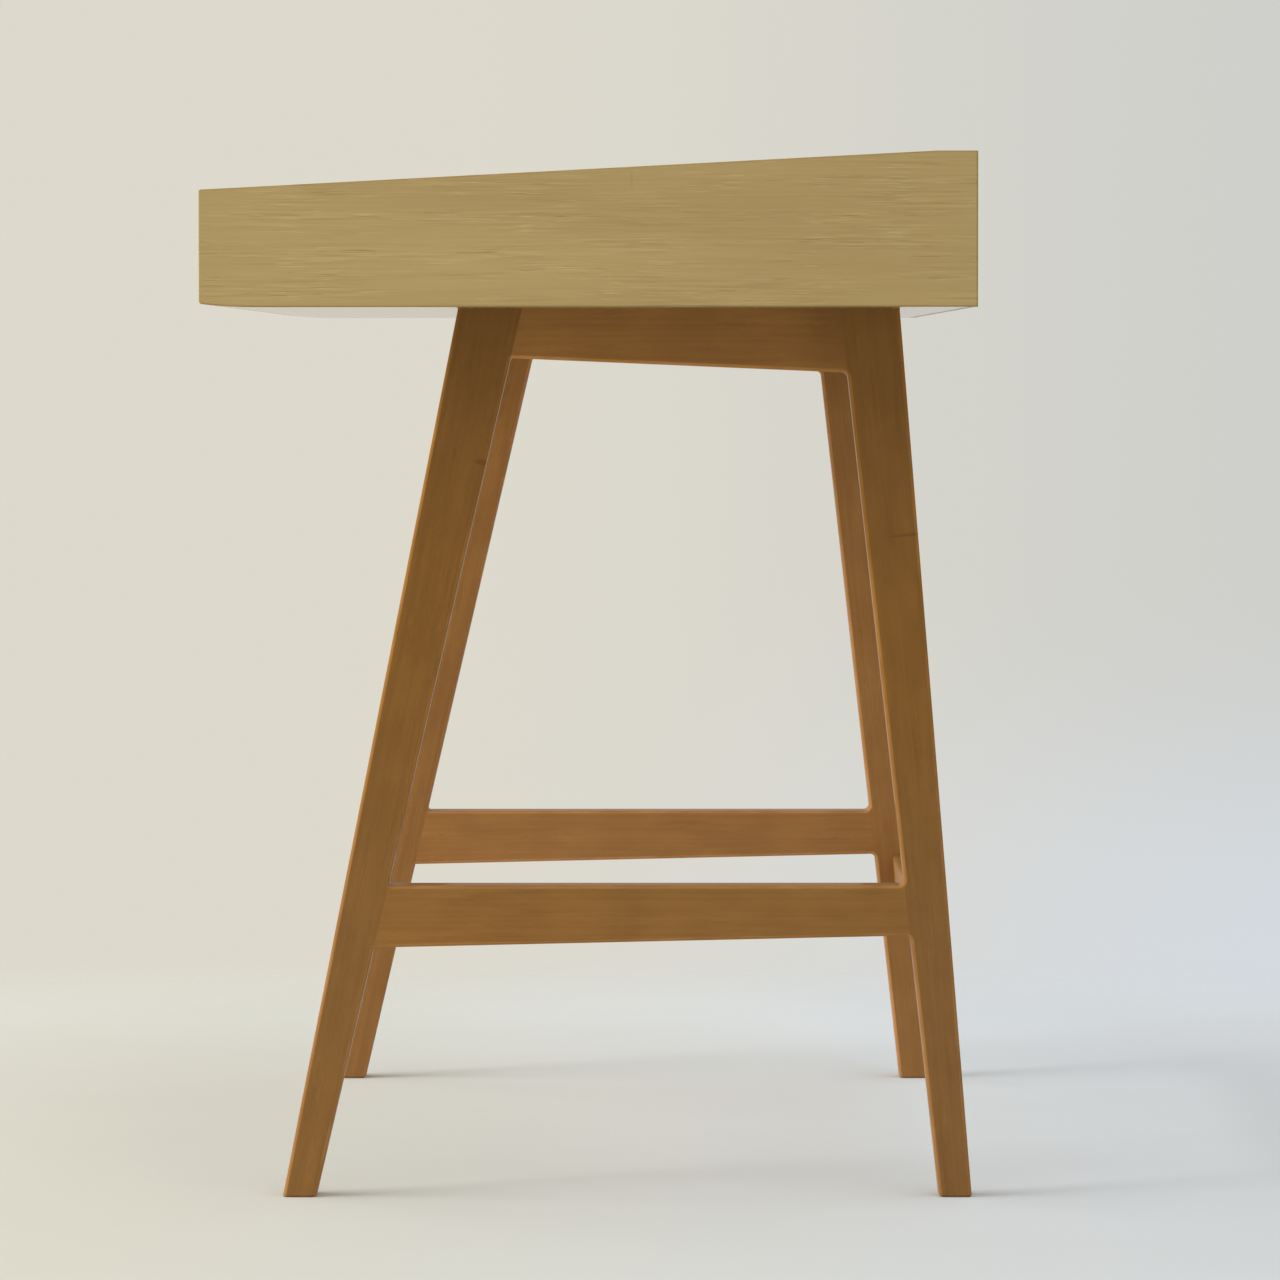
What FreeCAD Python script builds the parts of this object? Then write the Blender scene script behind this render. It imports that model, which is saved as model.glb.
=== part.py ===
import FreeCAD, Part
import math
import os

# Writing desk: a shallow oak case with a sloping lift-up lid, on two splayed
# side frames that a cross-rail joins behind the feet.
#
# Lengths are in millimetres. X runs along the desk, Y from the user (front) to the
# rear and Z up. The origin lies on the floor, in the middle of the overall length
# and depth. The side with positive X is called right.

Vector = FreeCAD.Vector

# Case: outline seen from the end, and the thickness of its boards
case_length = 1200.0
case_depth = 565.0
case_front_height = 85.0
case_rear_height = 113.0
flat_strip_depth = 30.0
panel_thickness = 20.0
back_thickness = 15.0
bottom_thickness = 15.0
rebate_width = 10.0
case_edge_radius = 1.2
front_top_radius = 1.5
front_low_radius = 2.5
ease_run = 40.0
ease_rise = 2.4
rear_rail_width = 36.0
rear_rail_thickness = 18.0

# Lid and the hollow for the fingers below its front edge
lid_thickness = 18.0
lid_end_gap = 1.5
lid_rear_gap = 2.0
lid_rest_gap = 1.5
lid_edge_radius = 1.0
finger_hollow_length = 110.0
finger_hollow_radius = 12.0
bumper_radius = 4.0
bumper_socket_depth = 1.5
bumper_top_gap = 0.1
bumper_place_shares = (-0.9, 0.9)

# Side frames: heights above the floor, setbacks from the case's front or rear face
frame_height = 668.0
frame_inset = 162.0
frame_thickness = 30.0
front_leg_top_setback = 183.0
front_leg_foot_setback = 50.0
front_leg_top_width = 48.0
front_leg_foot_width = 25.0
rear_leg_top_setback = 51.0
rear_leg_foot_overhang = 4.0
rear_leg_top_width = 44.5
rear_leg_foot_width = 24.5
top_rail_front_depth = 37.0
top_rail_rear_depth = 48.0
stretcher_top_height = 235.0
stretcher_front_depth = 47.0
stretcher_rear_depth = 38.0
arris_radius = 3.0
window_front_radius = 2.0
window_rear_radius = 4.5
foot_chamfer = 1.0
cross_rail_thickness = 15.0
cross_rail_depth = 44.0

# Loose tenons and dowels, with the room that their mortises leave
tenon_thickness = 10.0
rail_tenon_width = 22.0
rail_tenon_reach = 24.0
stretcher_tenon_width = 24.0
stretcher_tenon_reach = 18.0
cross_tenon_thickness = 6.0
cross_tenon_width = 26.0
cross_tenon_reach = 16.0
glue_gap = 0.05
mortise_end_room = 1.0
dowel_radius = 4.0
dowel_side_reach = 12.0
dowel_panel_reach = 24.0
rail_dowel_radius = 3.0
front_dowel_height_shares = (0.3, 0.72)
back_dowel_height_shares = (0.22, 0.76)
rail_dowel_depth_shares = (0.28, 0.74)

# Bolts that hold the case on the frames, their washers and threaded inserts
bolt_radius = 3.0
bolt_grip = 20.0
bolt_insert_reach = 10.0
bolt_head_radius = 5.0
bolt_head_height = 6.0
bolt_socket_across = 5.0
bolt_socket_depth = 3.0
bolt_hole_clearance = 0.3
bolt_recess_radius = 7.0
washer_radius = 6.2
washer_thickness = 1.6
insert_radius = 5.0
insert_length = 12.0
insert_flute_count = 8
insert_flute_radius = 0.6
bolt_tenon_gap = 6.0
bolts_per_frame = 3

# Countersunk slotted wood screws
bottom_screw_head_radius = 3.6
bottom_screw_radius = 1.9
bottom_screw_length = 32.0
bottom_screw_sink = 0.4
brass_screw_head_radius = 3.0
brass_screw_radius = 1.5
case_leaf_screw_length = 14.0
lid_leaf_screw_length = 20.0
stay_screw_length = 11.0
screw_slot_width = 0.8
screw_slot_depth = 0.8
screw_clearance = 0.04
screw_point_room = 0.5
bottom_screw_length_shares = (-0.92, -0.5, 0.0, 0.5, 0.92)
bottom_screw_depth_shares = (-0.4, 0.4)

# Knife hinges: one leaf let into the case side, one into the lid's end
leaf_thickness = 2.5
case_leaf_width = 14.0
case_leaf_drop = 40.0
case_leaf_screw_shares = (0.45, 0.85)
lid_leaf_width = 12.0
lid_leaf_reach = 44.0
lid_leaf_screw_shares = (0.42, 0.82)
pin_radius = 2.5
pin_seat_clearance = 0.02
pin_running_clearance = 0.05
pin_lid_reach = 6.0
pin_bore_room = 0.5
washer_face_gap = 0.1
hinge_washer_radius = 5.0

# Quadrant stays that turn with the lid and run through a guide on the case side
stay_radius = 55.0
stay_width = 7.0
stay_thickness = 2.5
stay_inset = 4.0
stay_tail_clearance = 2.0
stay_foot_length = 40.0
stay_foot_heel = 4.0
stay_foot_width = 16.0
stay_foot_thickness = 2.5
stay_foot_bury = 1.5
stay_screw_place_shares = (0.4, 0.82)
stop_pin_radius = 2.0
stop_pin_reach = 3.5
guide_top_gap = 1.0
guide_bridge_depth = 5.0
guide_bridge_wall = 3.7
guide_bridge_skin = 2.0
guide_base_thickness = 2.0
guide_base_depth = 20.0
guide_clearance = 0.3
guide_screw_place_shares = (-0.26, 0.26)
guide_screw_length = 11.0
guide_screw_head_radius = 2.4
guide_screw_radius = 1.3

# One overrun serves every cut that has to pass a face
overrun = 5.0

# Main planes and lines that follow from the sizes
half_length = case_length / 2
inner_half_length = half_length - panel_thickness
overall_depth = case_depth + rear_leg_foot_overhang
front_y = -overall_depth / 2
rear_y = front_y + case_depth
break_y = rear_y - flat_strip_depth
case_base = frame_height
case_top = case_base + case_rear_height
slope = math.atan2(case_rear_height - case_front_height, case_depth - flat_strip_depth)
slope_cos = math.cos(slope)
slope_sin = math.sin(slope)
floor_top = case_base + bottom_thickness
ease_curve_radius = (ease_run**2 + ease_rise**2) / (2 * ease_rise)
lid_half_length = inner_half_length - lid_end_gap
lid_half_thickness = lid_thickness / 2
rear_rail_front = rear_y - rear_rail_width
back_inner_y = rear_y - back_thickness
frame_outer_x = half_length - frame_inset
frame_inner_x = frame_outer_x - frame_thickness
frame_mid_x = (frame_outer_x + frame_inner_x) / 2


def slope_top(y):
    """Height of the sloping top plane at depth y."""
    return case_base + case_front_height + (y - front_y) * math.tan(slope)


hinge_y = rear_rail_front - lid_rear_gap - lid_half_thickness
hinge_z = slope_top(hinge_y) - lid_half_thickness / slope_cos


def lid_point(forward, up, x=0.0):
    """Point given from the hinge axis along the closed lid and square to it."""
    y = hinge_y - forward * slope_cos - up * slope_sin
    z = hinge_z - forward * slope_sin + up * slope_cos
    return Vector(x, y, z)


def box(x0, x1, y0, y1, z0, z1):
    """Block between two corners."""
    return Part.makeBox(x1 - x0, y1 - y0, z1 - z0, Vector(x0, y0, z0))


def lid_box(x0, x1, forward0, forward1, up0, up1):
    """Block between two corners, with its sides along and square to the closed lid."""
    corners = ((forward0, up0), (forward1, up0), (forward1, up1), (forward0, up1))
    return prism([lid_point(forward, up) for forward, up in corners], x0, x1)


def prism(points, x0, x1):
    """Prism along X over a polygon of (any x, y, z) points."""
    loop = [Vector(x0, point.y, point.z) for point in points]
    wire = Part.makePolygon(loop + [loop[0]])
    return Part.Face(wire).extrude(Vector(x1 - x0, 0, 0))


def rod(radius, start, direction, length):
    """Cylinder from a start point along a direction."""
    return Part.makeCylinder(radius, length, start, direction)


def rod_x(radius, x0, x1, point):
    """Cylinder along X between two places, through the y and z of a point."""
    return rod(radius, Vector(x0, point.y, point.z), Vector(1, 0, 0), x1 - x0)


def placed(shape, origin, direction):
    """Shape built about +Z, moved so that its +Z lies along a direction."""
    copy = shape.copy()
    copy.Placement = FreeCAD.Placement(origin, FreeCAD.Rotation(Vector(0, 0, 1), direction))
    return copy


def mirrored(shape):
    """Copy on the other side of the desk's middle plane."""
    return shape.mirror(Vector(0, 0, 0), Vector(1, 0, 0))


def edges_where(shape, test):
    """Edges whose every vertex passes a test."""
    return [edge for edge in shape.Edges if all(test(vertex.Point) for vertex in edge.Vertexes)]


def circles_of(shape):
    """Edges of a shape that are whole circles."""
    return [edge for edge in shape.Edges if len(edge.Vertexes) == 1]


def circle_furthest(shape, direction):
    """The whole circle of a shape that lies furthest along a direction."""
    return max(circles_of(shape), key=lambda edge: edge.CenterOfMass.dot(direction))


def near(first, second):
    """Whether two coordinates are the same place."""
    return abs(first - second) < 1e-6 * case_length


def polygon_with_rounds(points, radii):
    """Closed wire in the YZ plane, each corner rounded by its own radius or left sharp."""
    count = len(points)
    starts = []
    ends = []
    middles = []
    for index, (corner, radius) in enumerate(zip(points, radii)):
        if radius == 0:
            starts.append(corner)
            ends.append(corner)
            middles.append(None)
            continue
        before = (points[index - 1] - corner).normalize()
        after = (points[(index + 1) % count] - corner).normalize()
        half_angle = before.getAngle(after) / 2
        reach = radius / math.tan(half_angle)
        bisector = (before + after).normalize()
        starts.append(corner + before * reach)
        ends.append(corner + after * reach)
        middles.append(corner + bisector * (radius / math.sin(half_angle) - radius))
    edges = []
    for index in range(count):
        if middles[index] is not None:
            edges.append(Part.Arc(starts[index], middles[index], ends[index]).toShape())
        edges.append(Part.makeLine(ends[index], starts[(index + 1) % count]))
    return Part.Wire(edges)


def screw(head_radius, radius, length):
    """Slotted countersunk screw with its face at the origin and its point along +Z."""
    head_height = head_radius - radius
    head = Part.makeCone(head_radius, radius, head_height)
    tip_height = radius * 2
    shank = Part.makeCylinder(radius, length - tip_height)
    tip = Part.makeCone(radius, radius / 4, tip_height, Vector(0, 0, length - tip_height))
    body = head.fuse([shank, tip]).removeSplitter()
    slot = Part.makeBox(head_radius * 4, screw_slot_width, screw_slot_depth)
    slot.translate(Vector(-head_radius * 2, -screw_slot_width / 2, 0))
    return body.cut(slot)


def screw_hole(head_radius, radius, length):
    """Hole that takes a screw of the same sizes, open past its face."""
    wide = head_radius + screw_clearance
    narrow = radius + screw_clearance
    cone = Part.makeCone(wide, narrow, wide - narrow)
    shank = Part.makeCylinder(narrow, length + screw_point_room)
    mouth = Part.makeCylinder(wide, overrun, Vector(0, 0, -overrun))
    return cone.fuse([shank, mouth])


def dowel(radius, start, direction, length):
    """Dowel with its ends slightly chamfered."""
    peg = rod(radius, start, direction, length)
    return peg.makeChamfer(radius / 6, circles_of(peg))


def dowel_hole(radius, start, direction, length):
    """Hole for a dowel, longer at both ends."""
    mouth = start - direction * mortise_end_room
    return rod(radius + glue_gap, mouth, direction, length + 2 * mortise_end_room)


def export(name, solids):
    """Write one node, as one solid or as a group of separate ones."""
    shape = solids[0] if len(solids) == 1 else Part.makeCompound(solids)
    if not shape.isValid():
        raise ValueError(name + " is not valid")
    shape.exportStep(os.path.join("parts", name + ".step"))


# Case


def case_outline():
    """Corners of the case's end, from the lower front corner round by the top."""
    return [
        Vector(0, front_y, case_base),
        Vector(0, front_y, case_base + case_front_height),
        Vector(0, break_y, case_top),
        Vector(0, rear_y, case_top),
        Vector(0, rear_y, case_base),
    ]


def ease_cutter():
    """What the gentle curve takes off the case's lower front edge, over its whole length."""
    reach = half_length + overrun
    corner = box(-reach, reach, front_y - overrun, front_y + ease_run,
                 case_base - overrun, case_base + ease_rise)
    centre = Vector(0, front_y + ease_run, case_base + ease_curve_radius)
    return corner.cut(rod_x(ease_curve_radius, -reach, reach, centre))


def underside(y):
    """Height of the case's underside at depth y, where it curves up at the front and behind."""
    into_curve = max(0, front_y + ease_run - y)
    return case_base + ease_curve_radius - math.sqrt(ease_curve_radius**2 - into_curve**2)


def bottom_board():
    """Plain bottom board, as wide as the rebates that it lies in."""
    reach = inner_half_length + rebate_width
    front = front_y + panel_thickness - rebate_width
    rear = back_inner_y + rebate_width
    return box(-reach, reach, front, rear, case_base, floor_top)


def bottom_screw_places():
    """Places of the screws up through the bottom board into the four boards around it."""
    front = front_y + panel_thickness - rebate_width / 2
    rear = back_inner_y + rebate_width / 2
    side = inner_half_length + rebate_width / 2
    spots = [(share * inner_half_length, y) for y in (front, rear) for share in bottom_screw_length_shares]
    spots += [(x, share * case_depth) for x in (-side, side) for share in bottom_screw_depth_shares]
    return [Vector(x, y, underside(y) + bottom_screw_sink) for x, y in spots]


def bottom_screw_holes():
    """Holes for the screws in the bottom board."""
    hole = screw_hole(bottom_screw_head_radius, bottom_screw_radius, bottom_screw_length)
    return [placed(hole, place, Vector(0, 0, 1)) for place in bottom_screw_places()]


def front_panel_top(y):
    """Height of the front panel's top edge, just below the closed lid."""
    return slope_top(y) - (lid_thickness + lid_rest_gap) / slope_cos


def end_dowel_places():
    """Places on the right side panel's inner face where dowels hold the other boards."""
    front_top = front_panel_top(front_y)
    back_top = case_top - rear_rail_thickness
    front_mid = front_y + panel_thickness / 2
    back_mid = rear_y - back_thickness / 2
    rail_mid = case_top - rear_rail_thickness / 2
    front = [Vector(inner_half_length, front_mid, floor_top + share * (front_top - floor_top))
             for share in front_dowel_height_shares]
    back = [Vector(inner_half_length, back_mid, floor_top + share * (back_top - floor_top))
            for share in back_dowel_height_shares]
    rail = [Vector(inner_half_length, rear_y - share * rear_rail_width, rail_mid)
            for share in rail_dowel_depth_shares]
    return {"front": front, "back": back, "rail": rail}


def end_dowels(group, hole):
    """Dowels of one board, or their holes, at both ends of the case."""
    radius = rail_dowel_radius if group == "rail" else dowel_radius
    make = dowel_hole if hole else dowel
    along = Vector(1, 0, 0)
    length = dowel_panel_reach + dowel_side_reach
    right = [make(radius, place - along * dowel_panel_reach, along, length)
             for place in end_dowel_places()[group]]
    return right + [mirrored(peg) for peg in right]


def side_panel():
    """Right side panel, with the pockets for all that is let into it."""
    panel = prism(case_outline(), inner_half_length, half_length).cut(ease_cutter())
    high = edges_where(panel, lambda p: near(p.y, front_y) and near(p.z, case_base + case_front_height))
    panel = panel.makeFillet(front_top_radius, high)
    low = edges_where(panel, lambda p: near(p.y, front_y) and near(p.z, case_base + ease_rise))
    panel = panel.makeFillet(front_low_radius, low)
    rim = edges_where(panel, lambda p: near(p.x, half_length))
    panel = panel.makeFillet(case_edge_radius, rim)
    pockets = [bottom_board(), case_leaf_pocket()]
    pockets += bottom_screw_holes()
    for group in ("front", "back", "rail"):
        pockets += end_dowels(group, True)
    pockets += case_leaf_screw_holes()
    pockets += guide_screw_holes()
    return panel.cut(pockets)


def finger_hollow():
    """Round-ended hollow along the front panel's top edge, for the fingers that lift the lid."""
    top = front_panel_top(front_y)
    reach = finger_hollow_length / 2 - finger_hollow_radius
    centre = Vector(0, front_y, top)
    middle = rod_x(finger_hollow_radius, -reach, reach, centre)
    ends = [Part.makeSphere(finger_hollow_radius, Vector(x, front_y, top)) for x in (-reach, reach)]
    return middle.fuse(ends).removeSplitter()


def bumper_places():
    """Places on the front panel's top edge where the bumpers are let in."""
    y = front_y + panel_thickness / 2
    return [Vector(share * inner_half_length, y, front_panel_top(y)) for share in bumper_place_shares]


def front_panel():
    """Front panel between the side panels, lower than they are by the lid."""
    inner_y = front_y + panel_thickness
    outline = [
        Vector(0, front_y, case_base),
        Vector(0, inner_y, case_base),
        Vector(0, inner_y, front_panel_top(inner_y)),
        Vector(0, front_y, front_panel_top(front_y)),
    ]
    panel = prism(outline, -inner_half_length, inner_half_length).cut(ease_cutter())
    low = edges_where(panel, lambda p: near(p.y, front_y) and near(p.z, case_base + ease_rise))
    panel = panel.makeFillet(front_low_radius, low)
    high = edges_where(panel, lambda p: near(p.z, front_panel_top(p.y)))
    long_edges = [edge for edge in high if edge.Length > inner_half_length]
    panel = panel.makeFillet(case_edge_radius, long_edges)
    pockets = [bottom_board(), finger_hollow()]
    pockets += bottom_screw_holes()
    pockets += end_dowels("front", True)
    up = lid_up()
    socket_radius = bumper_radius + glue_gap
    pockets += [rod(socket_radius, place - up * bumper_socket_depth, up, bumper_socket_depth + overrun)
                for place in bumper_places()]
    return panel.cut(pockets)


def lid_bumpers():
    """Round pads that the closed lid rests on."""
    up = lid_up()
    height = bumper_socket_depth + lid_rest_gap - bumper_top_gap
    pads = []
    for place in bumper_places():
        pad = rod(bumper_radius, place - up * bumper_socket_depth, up, height)
        pads.append(pad.makeFillet(bumper_socket_depth / 3, [circle_furthest(pad, up)]))
    return pads


def back_panel():
    """Back panel between the side panels, below the rear top rail."""
    top = case_top - rear_rail_thickness
    panel = box(-inner_half_length, inner_half_length, back_inner_y, rear_y, case_base, top)
    low = edges_where(panel, lambda p: near(p.y, rear_y) and near(p.z, case_base))
    panel = panel.makeFillet(case_edge_radius, low)
    return panel.cut([bottom_board()] + bottom_screw_holes() + end_dowels("back", True))


def rear_top_rail():
    """Rail along the rear of the top, flat at the rear and sloping with the lid in front."""
    low = case_top - rear_rail_thickness
    outline = [
        Vector(0, rear_rail_front, low),
        Vector(0, rear_rail_front, slope_top(rear_rail_front)),
        Vector(0, break_y, case_top),
        Vector(0, rear_y, case_top),
        Vector(0, rear_y, low),
    ]
    rail = prism(outline, -inner_half_length, inner_half_length)
    rear_edge = edges_where(rail, lambda p: near(p.y, rear_y) and near(p.z, case_top))
    front_edges = edges_where(rail, lambda p: near(p.y, rear_rail_front))
    front_edges = [edge for edge in front_edges if edge.Length > inner_half_length]
    rail = rail.makeFillet(case_edge_radius, rear_edge + front_edges)
    return rail.cut(end_dowels("rail", True))


def bottom_panel():
    """Bottom board with its screw holes and the sockets for the threaded inserts."""
    board = bottom_board().cut(ease_cutter())
    up = Vector(0, 0, 1)
    sockets = [rod(insert_radius + glue_gap, place, up, insert_length) for place in bolt_places()]
    sockets += [mirrored(socket) for socket in sockets]
    return board.cut(sockets + bottom_screw_holes())


# Lid


def lid():
    """Lid with a half-round rear edge about the hinge axis and pockets for its fittings."""
    lid_front_top = Vector(0, front_y, slope_top(front_y))
    lid_front_low = Vector(0, front_y, slope_top(front_y) - lid_thickness / slope_cos)
    upper = lid_point(0, lid_half_thickness)
    lower = lid_point(0, -lid_half_thickness)
    nose = lid_point(-lid_half_thickness, 0)
    edges = [
        Part.makeLine(lid_front_top, lid_front_low),
        Part.makeLine(lid_front_low, lower),
        Part.Arc(lower, nose, upper).toShape(),
        Part.makeLine(upper, lid_front_top),
    ]
    face = Part.Face(Part.Wire(edges))
    face.translate(Vector(-lid_half_length, 0, 0))
    board = face.extrude(Vector(2 * lid_half_length, 0, 0))
    front_edges = edges_where(board, lambda p: near(p.y, front_y))
    top_ends = edges_where(board, lambda p: near(p.z, slope_top(p.y)) and abs(p.x) > inner_half_length / 2)
    chosen = {edge.hashCode(): edge for edge in front_edges + top_ends}
    board = board.makeFillet(lid_edge_radius, list(chosen.values()))
    right = [lid_leaf_pocket(), pin_bore(), stay_foot(glue_gap, overrun)]
    right += lid_leaf_screw_holes() + stay_screw_holes()
    return board.cut(right + [mirrored(tool) for tool in right])


# Knife hinges, made for the right side of the case and mirrored for the left


def leaf_plate(width, length, direction, x0, x1, grow):
    """Round-ended plate from the hinge axis along a direction, grown all round by grow."""
    radius = width / 2 + grow
    start = lid_point(0, 0)
    end = start + direction * (length - width / 2)
    side = direction.cross(Vector(1, 0, 0)) * radius
    strip = prism([start + side, end + side, end - side, start - side], x0, x1)
    return strip.fuse([rod_x(radius, x0, x1, start), rod_x(radius, x0, x1, end)]).removeSplitter()


def case_leaf_direction():
    """The case leaf hangs straight down from the hinge axis."""
    return Vector(0, 0, -1)


def lid_leaf_direction():
    """The lid leaf runs forward, along the middle of the lid's end."""
    return (lid_point(lid_leaf_reach, 0) - lid_point(0, 0)).normalize()


def case_leaf_pocket():
    """Pocket in the side panel, with a shallow bore behind it for the pin's rivet."""
    face = inner_half_length
    plate = leaf_plate(case_leaf_width, case_leaf_drop, case_leaf_direction(),
                       face - overrun, face + leaf_thickness, glue_gap)
    bore_end = face + leaf_thickness + pin_bore_room
    return plate.fuse(rod_x(pin_radius + pin_bore_room, face, bore_end, lid_point(0, 0)))


def lid_leaf_pocket():
    """Pocket in the lid's end."""
    return leaf_plate(lid_leaf_width, lid_leaf_reach, lid_leaf_direction(),
                      lid_half_length - leaf_thickness, lid_half_length + overrun, glue_gap)


def pin_bore():
    """Bore in the lid behind its leaf, with room around the pin's end."""
    inner = lid_half_length - leaf_thickness - pin_lid_reach - pin_bore_room
    return rod_x(pin_radius + pin_bore_room, inner, lid_half_length, lid_point(0, 0))


def case_leaf_screw_places():
    """Places of the case leaf's screws on the side panel's inner face."""
    start = lid_point(0, 0, inner_half_length)
    return [start + case_leaf_direction() * (share * case_leaf_drop) for share in case_leaf_screw_shares]


def case_leaf_screw_holes():
    """Holes of the case leaf's screws, outward into the side panel."""
    hole = screw_hole(brass_screw_head_radius, brass_screw_radius, case_leaf_screw_length)
    return [placed(hole, place, Vector(1, 0, 0)) for place in case_leaf_screw_places()]


def lid_leaf_screw_places():
    """Places of the lid leaf's screws on the lid's end."""
    start = lid_point(0, 0, lid_half_length)
    return [start + lid_leaf_direction() * (share * lid_leaf_reach) for share in lid_leaf_screw_shares]


def lid_leaf_screw_holes():
    """Holes of the lid leaf's screws, inward into the lid."""
    hole = screw_hole(brass_screw_head_radius, brass_screw_radius, lid_leaf_screw_length)
    return [placed(hole, place, Vector(-1, 0, 0)) for place in lid_leaf_screw_places()]


def hinge_nodes():
    """The six nodes of the right hinge."""
    axis = lid_point(0, 0)
    face = inner_half_length
    lid_face = lid_half_length
    outward = Vector(1, 0, 0)
    case_leaf = leaf_plate(case_leaf_width, case_leaf_drop, case_leaf_direction(),
                           face, face + leaf_thickness, 0)
    seat = rod_x(pin_radius + pin_seat_clearance, face - overrun, face + overrun, axis)
    case_leaf = case_leaf.cut([seat] + case_leaf_screw_holes())
    lid_leaf = leaf_plate(lid_leaf_width, lid_leaf_reach, lid_leaf_direction(),
                          lid_face - leaf_thickness, lid_face, 0)
    running = rod_x(pin_radius + pin_running_clearance, lid_face - overrun, lid_face + overrun, axis)
    lid_leaf = lid_leaf.cut([running] + lid_leaf_screw_holes())
    pin = rod_x(pin_radius, lid_face - leaf_thickness - pin_lid_reach, face + leaf_thickness, axis)
    pin = pin.makeChamfer(pin_radius / 4, [circle_furthest(pin, -outward)])
    washer = rod_x(hinge_washer_radius, lid_face + washer_face_gap, face - washer_face_gap, axis)
    washer = washer.cut(rod_x(pin_radius + pin_seat_clearance, lid_face, face, axis))
    case_screw = screw(brass_screw_head_radius, brass_screw_radius, case_leaf_screw_length)
    lid_screw = screw(brass_screw_head_radius, brass_screw_radius, lid_leaf_screw_length)
    return {
        "hinge_case_leaf": [case_leaf],
        "hinge_lid_leaf": [lid_leaf],
        "hinge_pin": [pin],
        "hinge_washer": [washer],
        "hinge_case_screws": [placed(case_screw, place, outward) for place in case_leaf_screw_places()],
        "hinge_lid_screws": [placed(lid_screw, place, -outward) for place in lid_leaf_screw_places()],
    }


# Quadrant stays, made for the right side of the case and mirrored for the left


stay_outer_x = inner_half_length - stay_inset
stay_inner_x = stay_outer_x - stay_thickness
stay_half_width = stay_width / 2
stay_foot_start = stay_radius - stay_half_width - stay_foot_heel
guide_top = -lid_half_thickness - guide_top_gap
guide_low = guide_top - guide_bridge_depth
tail_room = back_inner_y - hinge_y - stay_half_width - stay_tail_clearance


def stop_angle():
    """Angle from forward, downward round the hinge axis, of the stop pin on the closed stay."""
    level_angle = math.pi - math.acos(tail_room / stay_radius)
    return level_angle - slope


def stay_point(angle, radius=stay_radius):
    """Point of the closed stay at an angle and a radius about the hinge axis."""
    return lid_point(radius * math.cos(angle), -radius * math.sin(angle))


def ring_about_hinge(inner_radius, outer_radius, x0, x1):
    """Whole ring about the hinge axis."""
    axis = lid_point(0, 0)
    return rod_x(outer_radius, x0, x1, axis).cut(rod_x(inner_radius, x0, x1, axis))


def stay_arc():
    """Curved bar from inside its foot round to the stop pin."""
    start = math.asin((lid_half_thickness - stay_foot_bury) / stay_radius)
    end = stop_angle()
    middle = (start + end) / 2
    inner = stay_radius - stay_half_width
    outer = stay_radius + stay_half_width
    edges = [
        Part.Arc(stay_point(start, outer), stay_point(middle, outer), stay_point(end, outer)).toShape(),
        Part.makeLine(stay_point(end, outer), stay_point(end, inner)),
        Part.Arc(stay_point(end, inner), stay_point(middle, inner), stay_point(start, inner)).toShape(),
        Part.makeLine(stay_point(start, inner), stay_point(start, outer)),
    ]
    face = Part.Face(Part.Wire(edges))
    face.translate(Vector(stay_inner_x, 0, 0))
    bar = face.extrude(Vector(stay_thickness, 0, 0))
    tail = rod_x(stay_half_width, stay_inner_x, stay_outer_x, stay_point(end))
    return bar.fuse(tail).removeSplitter()


def stay_foot(grow, depth_below):
    """Plate let into the lid's underside, or its pocket when it is grown and reaches below."""
    return lid_box(stay_outer_x - stay_foot_width - grow, stay_outer_x + grow,
                   stay_foot_start - grow, stay_foot_start + stay_foot_length + grow,
                   -lid_half_thickness - depth_below, -lid_half_thickness + stay_foot_thickness)


def stay_screw_places():
    """Places of the screws in the stay's foot, on the lid's underside."""
    x = stay_inner_x - (stay_foot_width - stay_thickness) / 2
    return [lid_point(stay_foot_start + share * stay_foot_length, -lid_half_thickness, x)
            for share in stay_screw_place_shares]


def lid_up():
    """Direction square to the closed lid, upward."""
    return Vector(0, -slope_sin, slope_cos)


def stay_screw_holes():
    """Holes of the screws in the stay's foot, up into the lid."""
    hole = screw_hole(brass_screw_head_radius, brass_screw_radius, stay_screw_length)
    return [placed(hole, place, lid_up()) for place in stay_screw_places()]


def guide_centre():
    """How far forward of the hinge axis the stay passes through its guide."""
    return math.sqrt(stay_radius**2 - ((guide_top + guide_low) / 2) ** 2)


def guide_screw_places():
    """Places of the guide's screws on the side panel's inner face, below its bridge."""
    x = inner_half_length - guide_base_thickness
    bridge_half = stay_half_width + guide_bridge_wall
    up = (guide_low + guide_top - guide_base_depth) / 2
    return [lid_point(guide_centre() + share * 2 * bridge_half, up, x)
            for share in guide_screw_place_shares]


def guide_screw_holes():
    """Holes of the guide's screws, outward into the side panel."""
    hole = screw_hole(guide_screw_head_radius, guide_screw_radius, guide_screw_length)
    return [placed(hole, place, Vector(1, 0, 0)) for place in guide_screw_places()]


def stay_guide():
    """Bridge on a base plate, with a curved slot that the stay slides through."""
    face = inner_half_length
    half = stay_half_width + guide_bridge_wall
    centre = guide_centre()
    bridge = lid_box(stay_inner_x - guide_bridge_skin, face, centre - half, centre + half,
                     guide_low, guide_top)
    base = lid_box(face - guide_base_thickness, face, centre - half, centre + half,
                   guide_top - guide_base_depth, guide_top)
    inner = stay_radius - stay_half_width - guide_clearance
    outer = stay_radius + stay_half_width + guide_clearance
    slot = ring_about_hinge(inner, outer, stay_inner_x - guide_clearance, stay_outer_x + guide_clearance)
    return bridge.fuse(base).removeSplitter().cut([slot] + guide_screw_holes())


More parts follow.
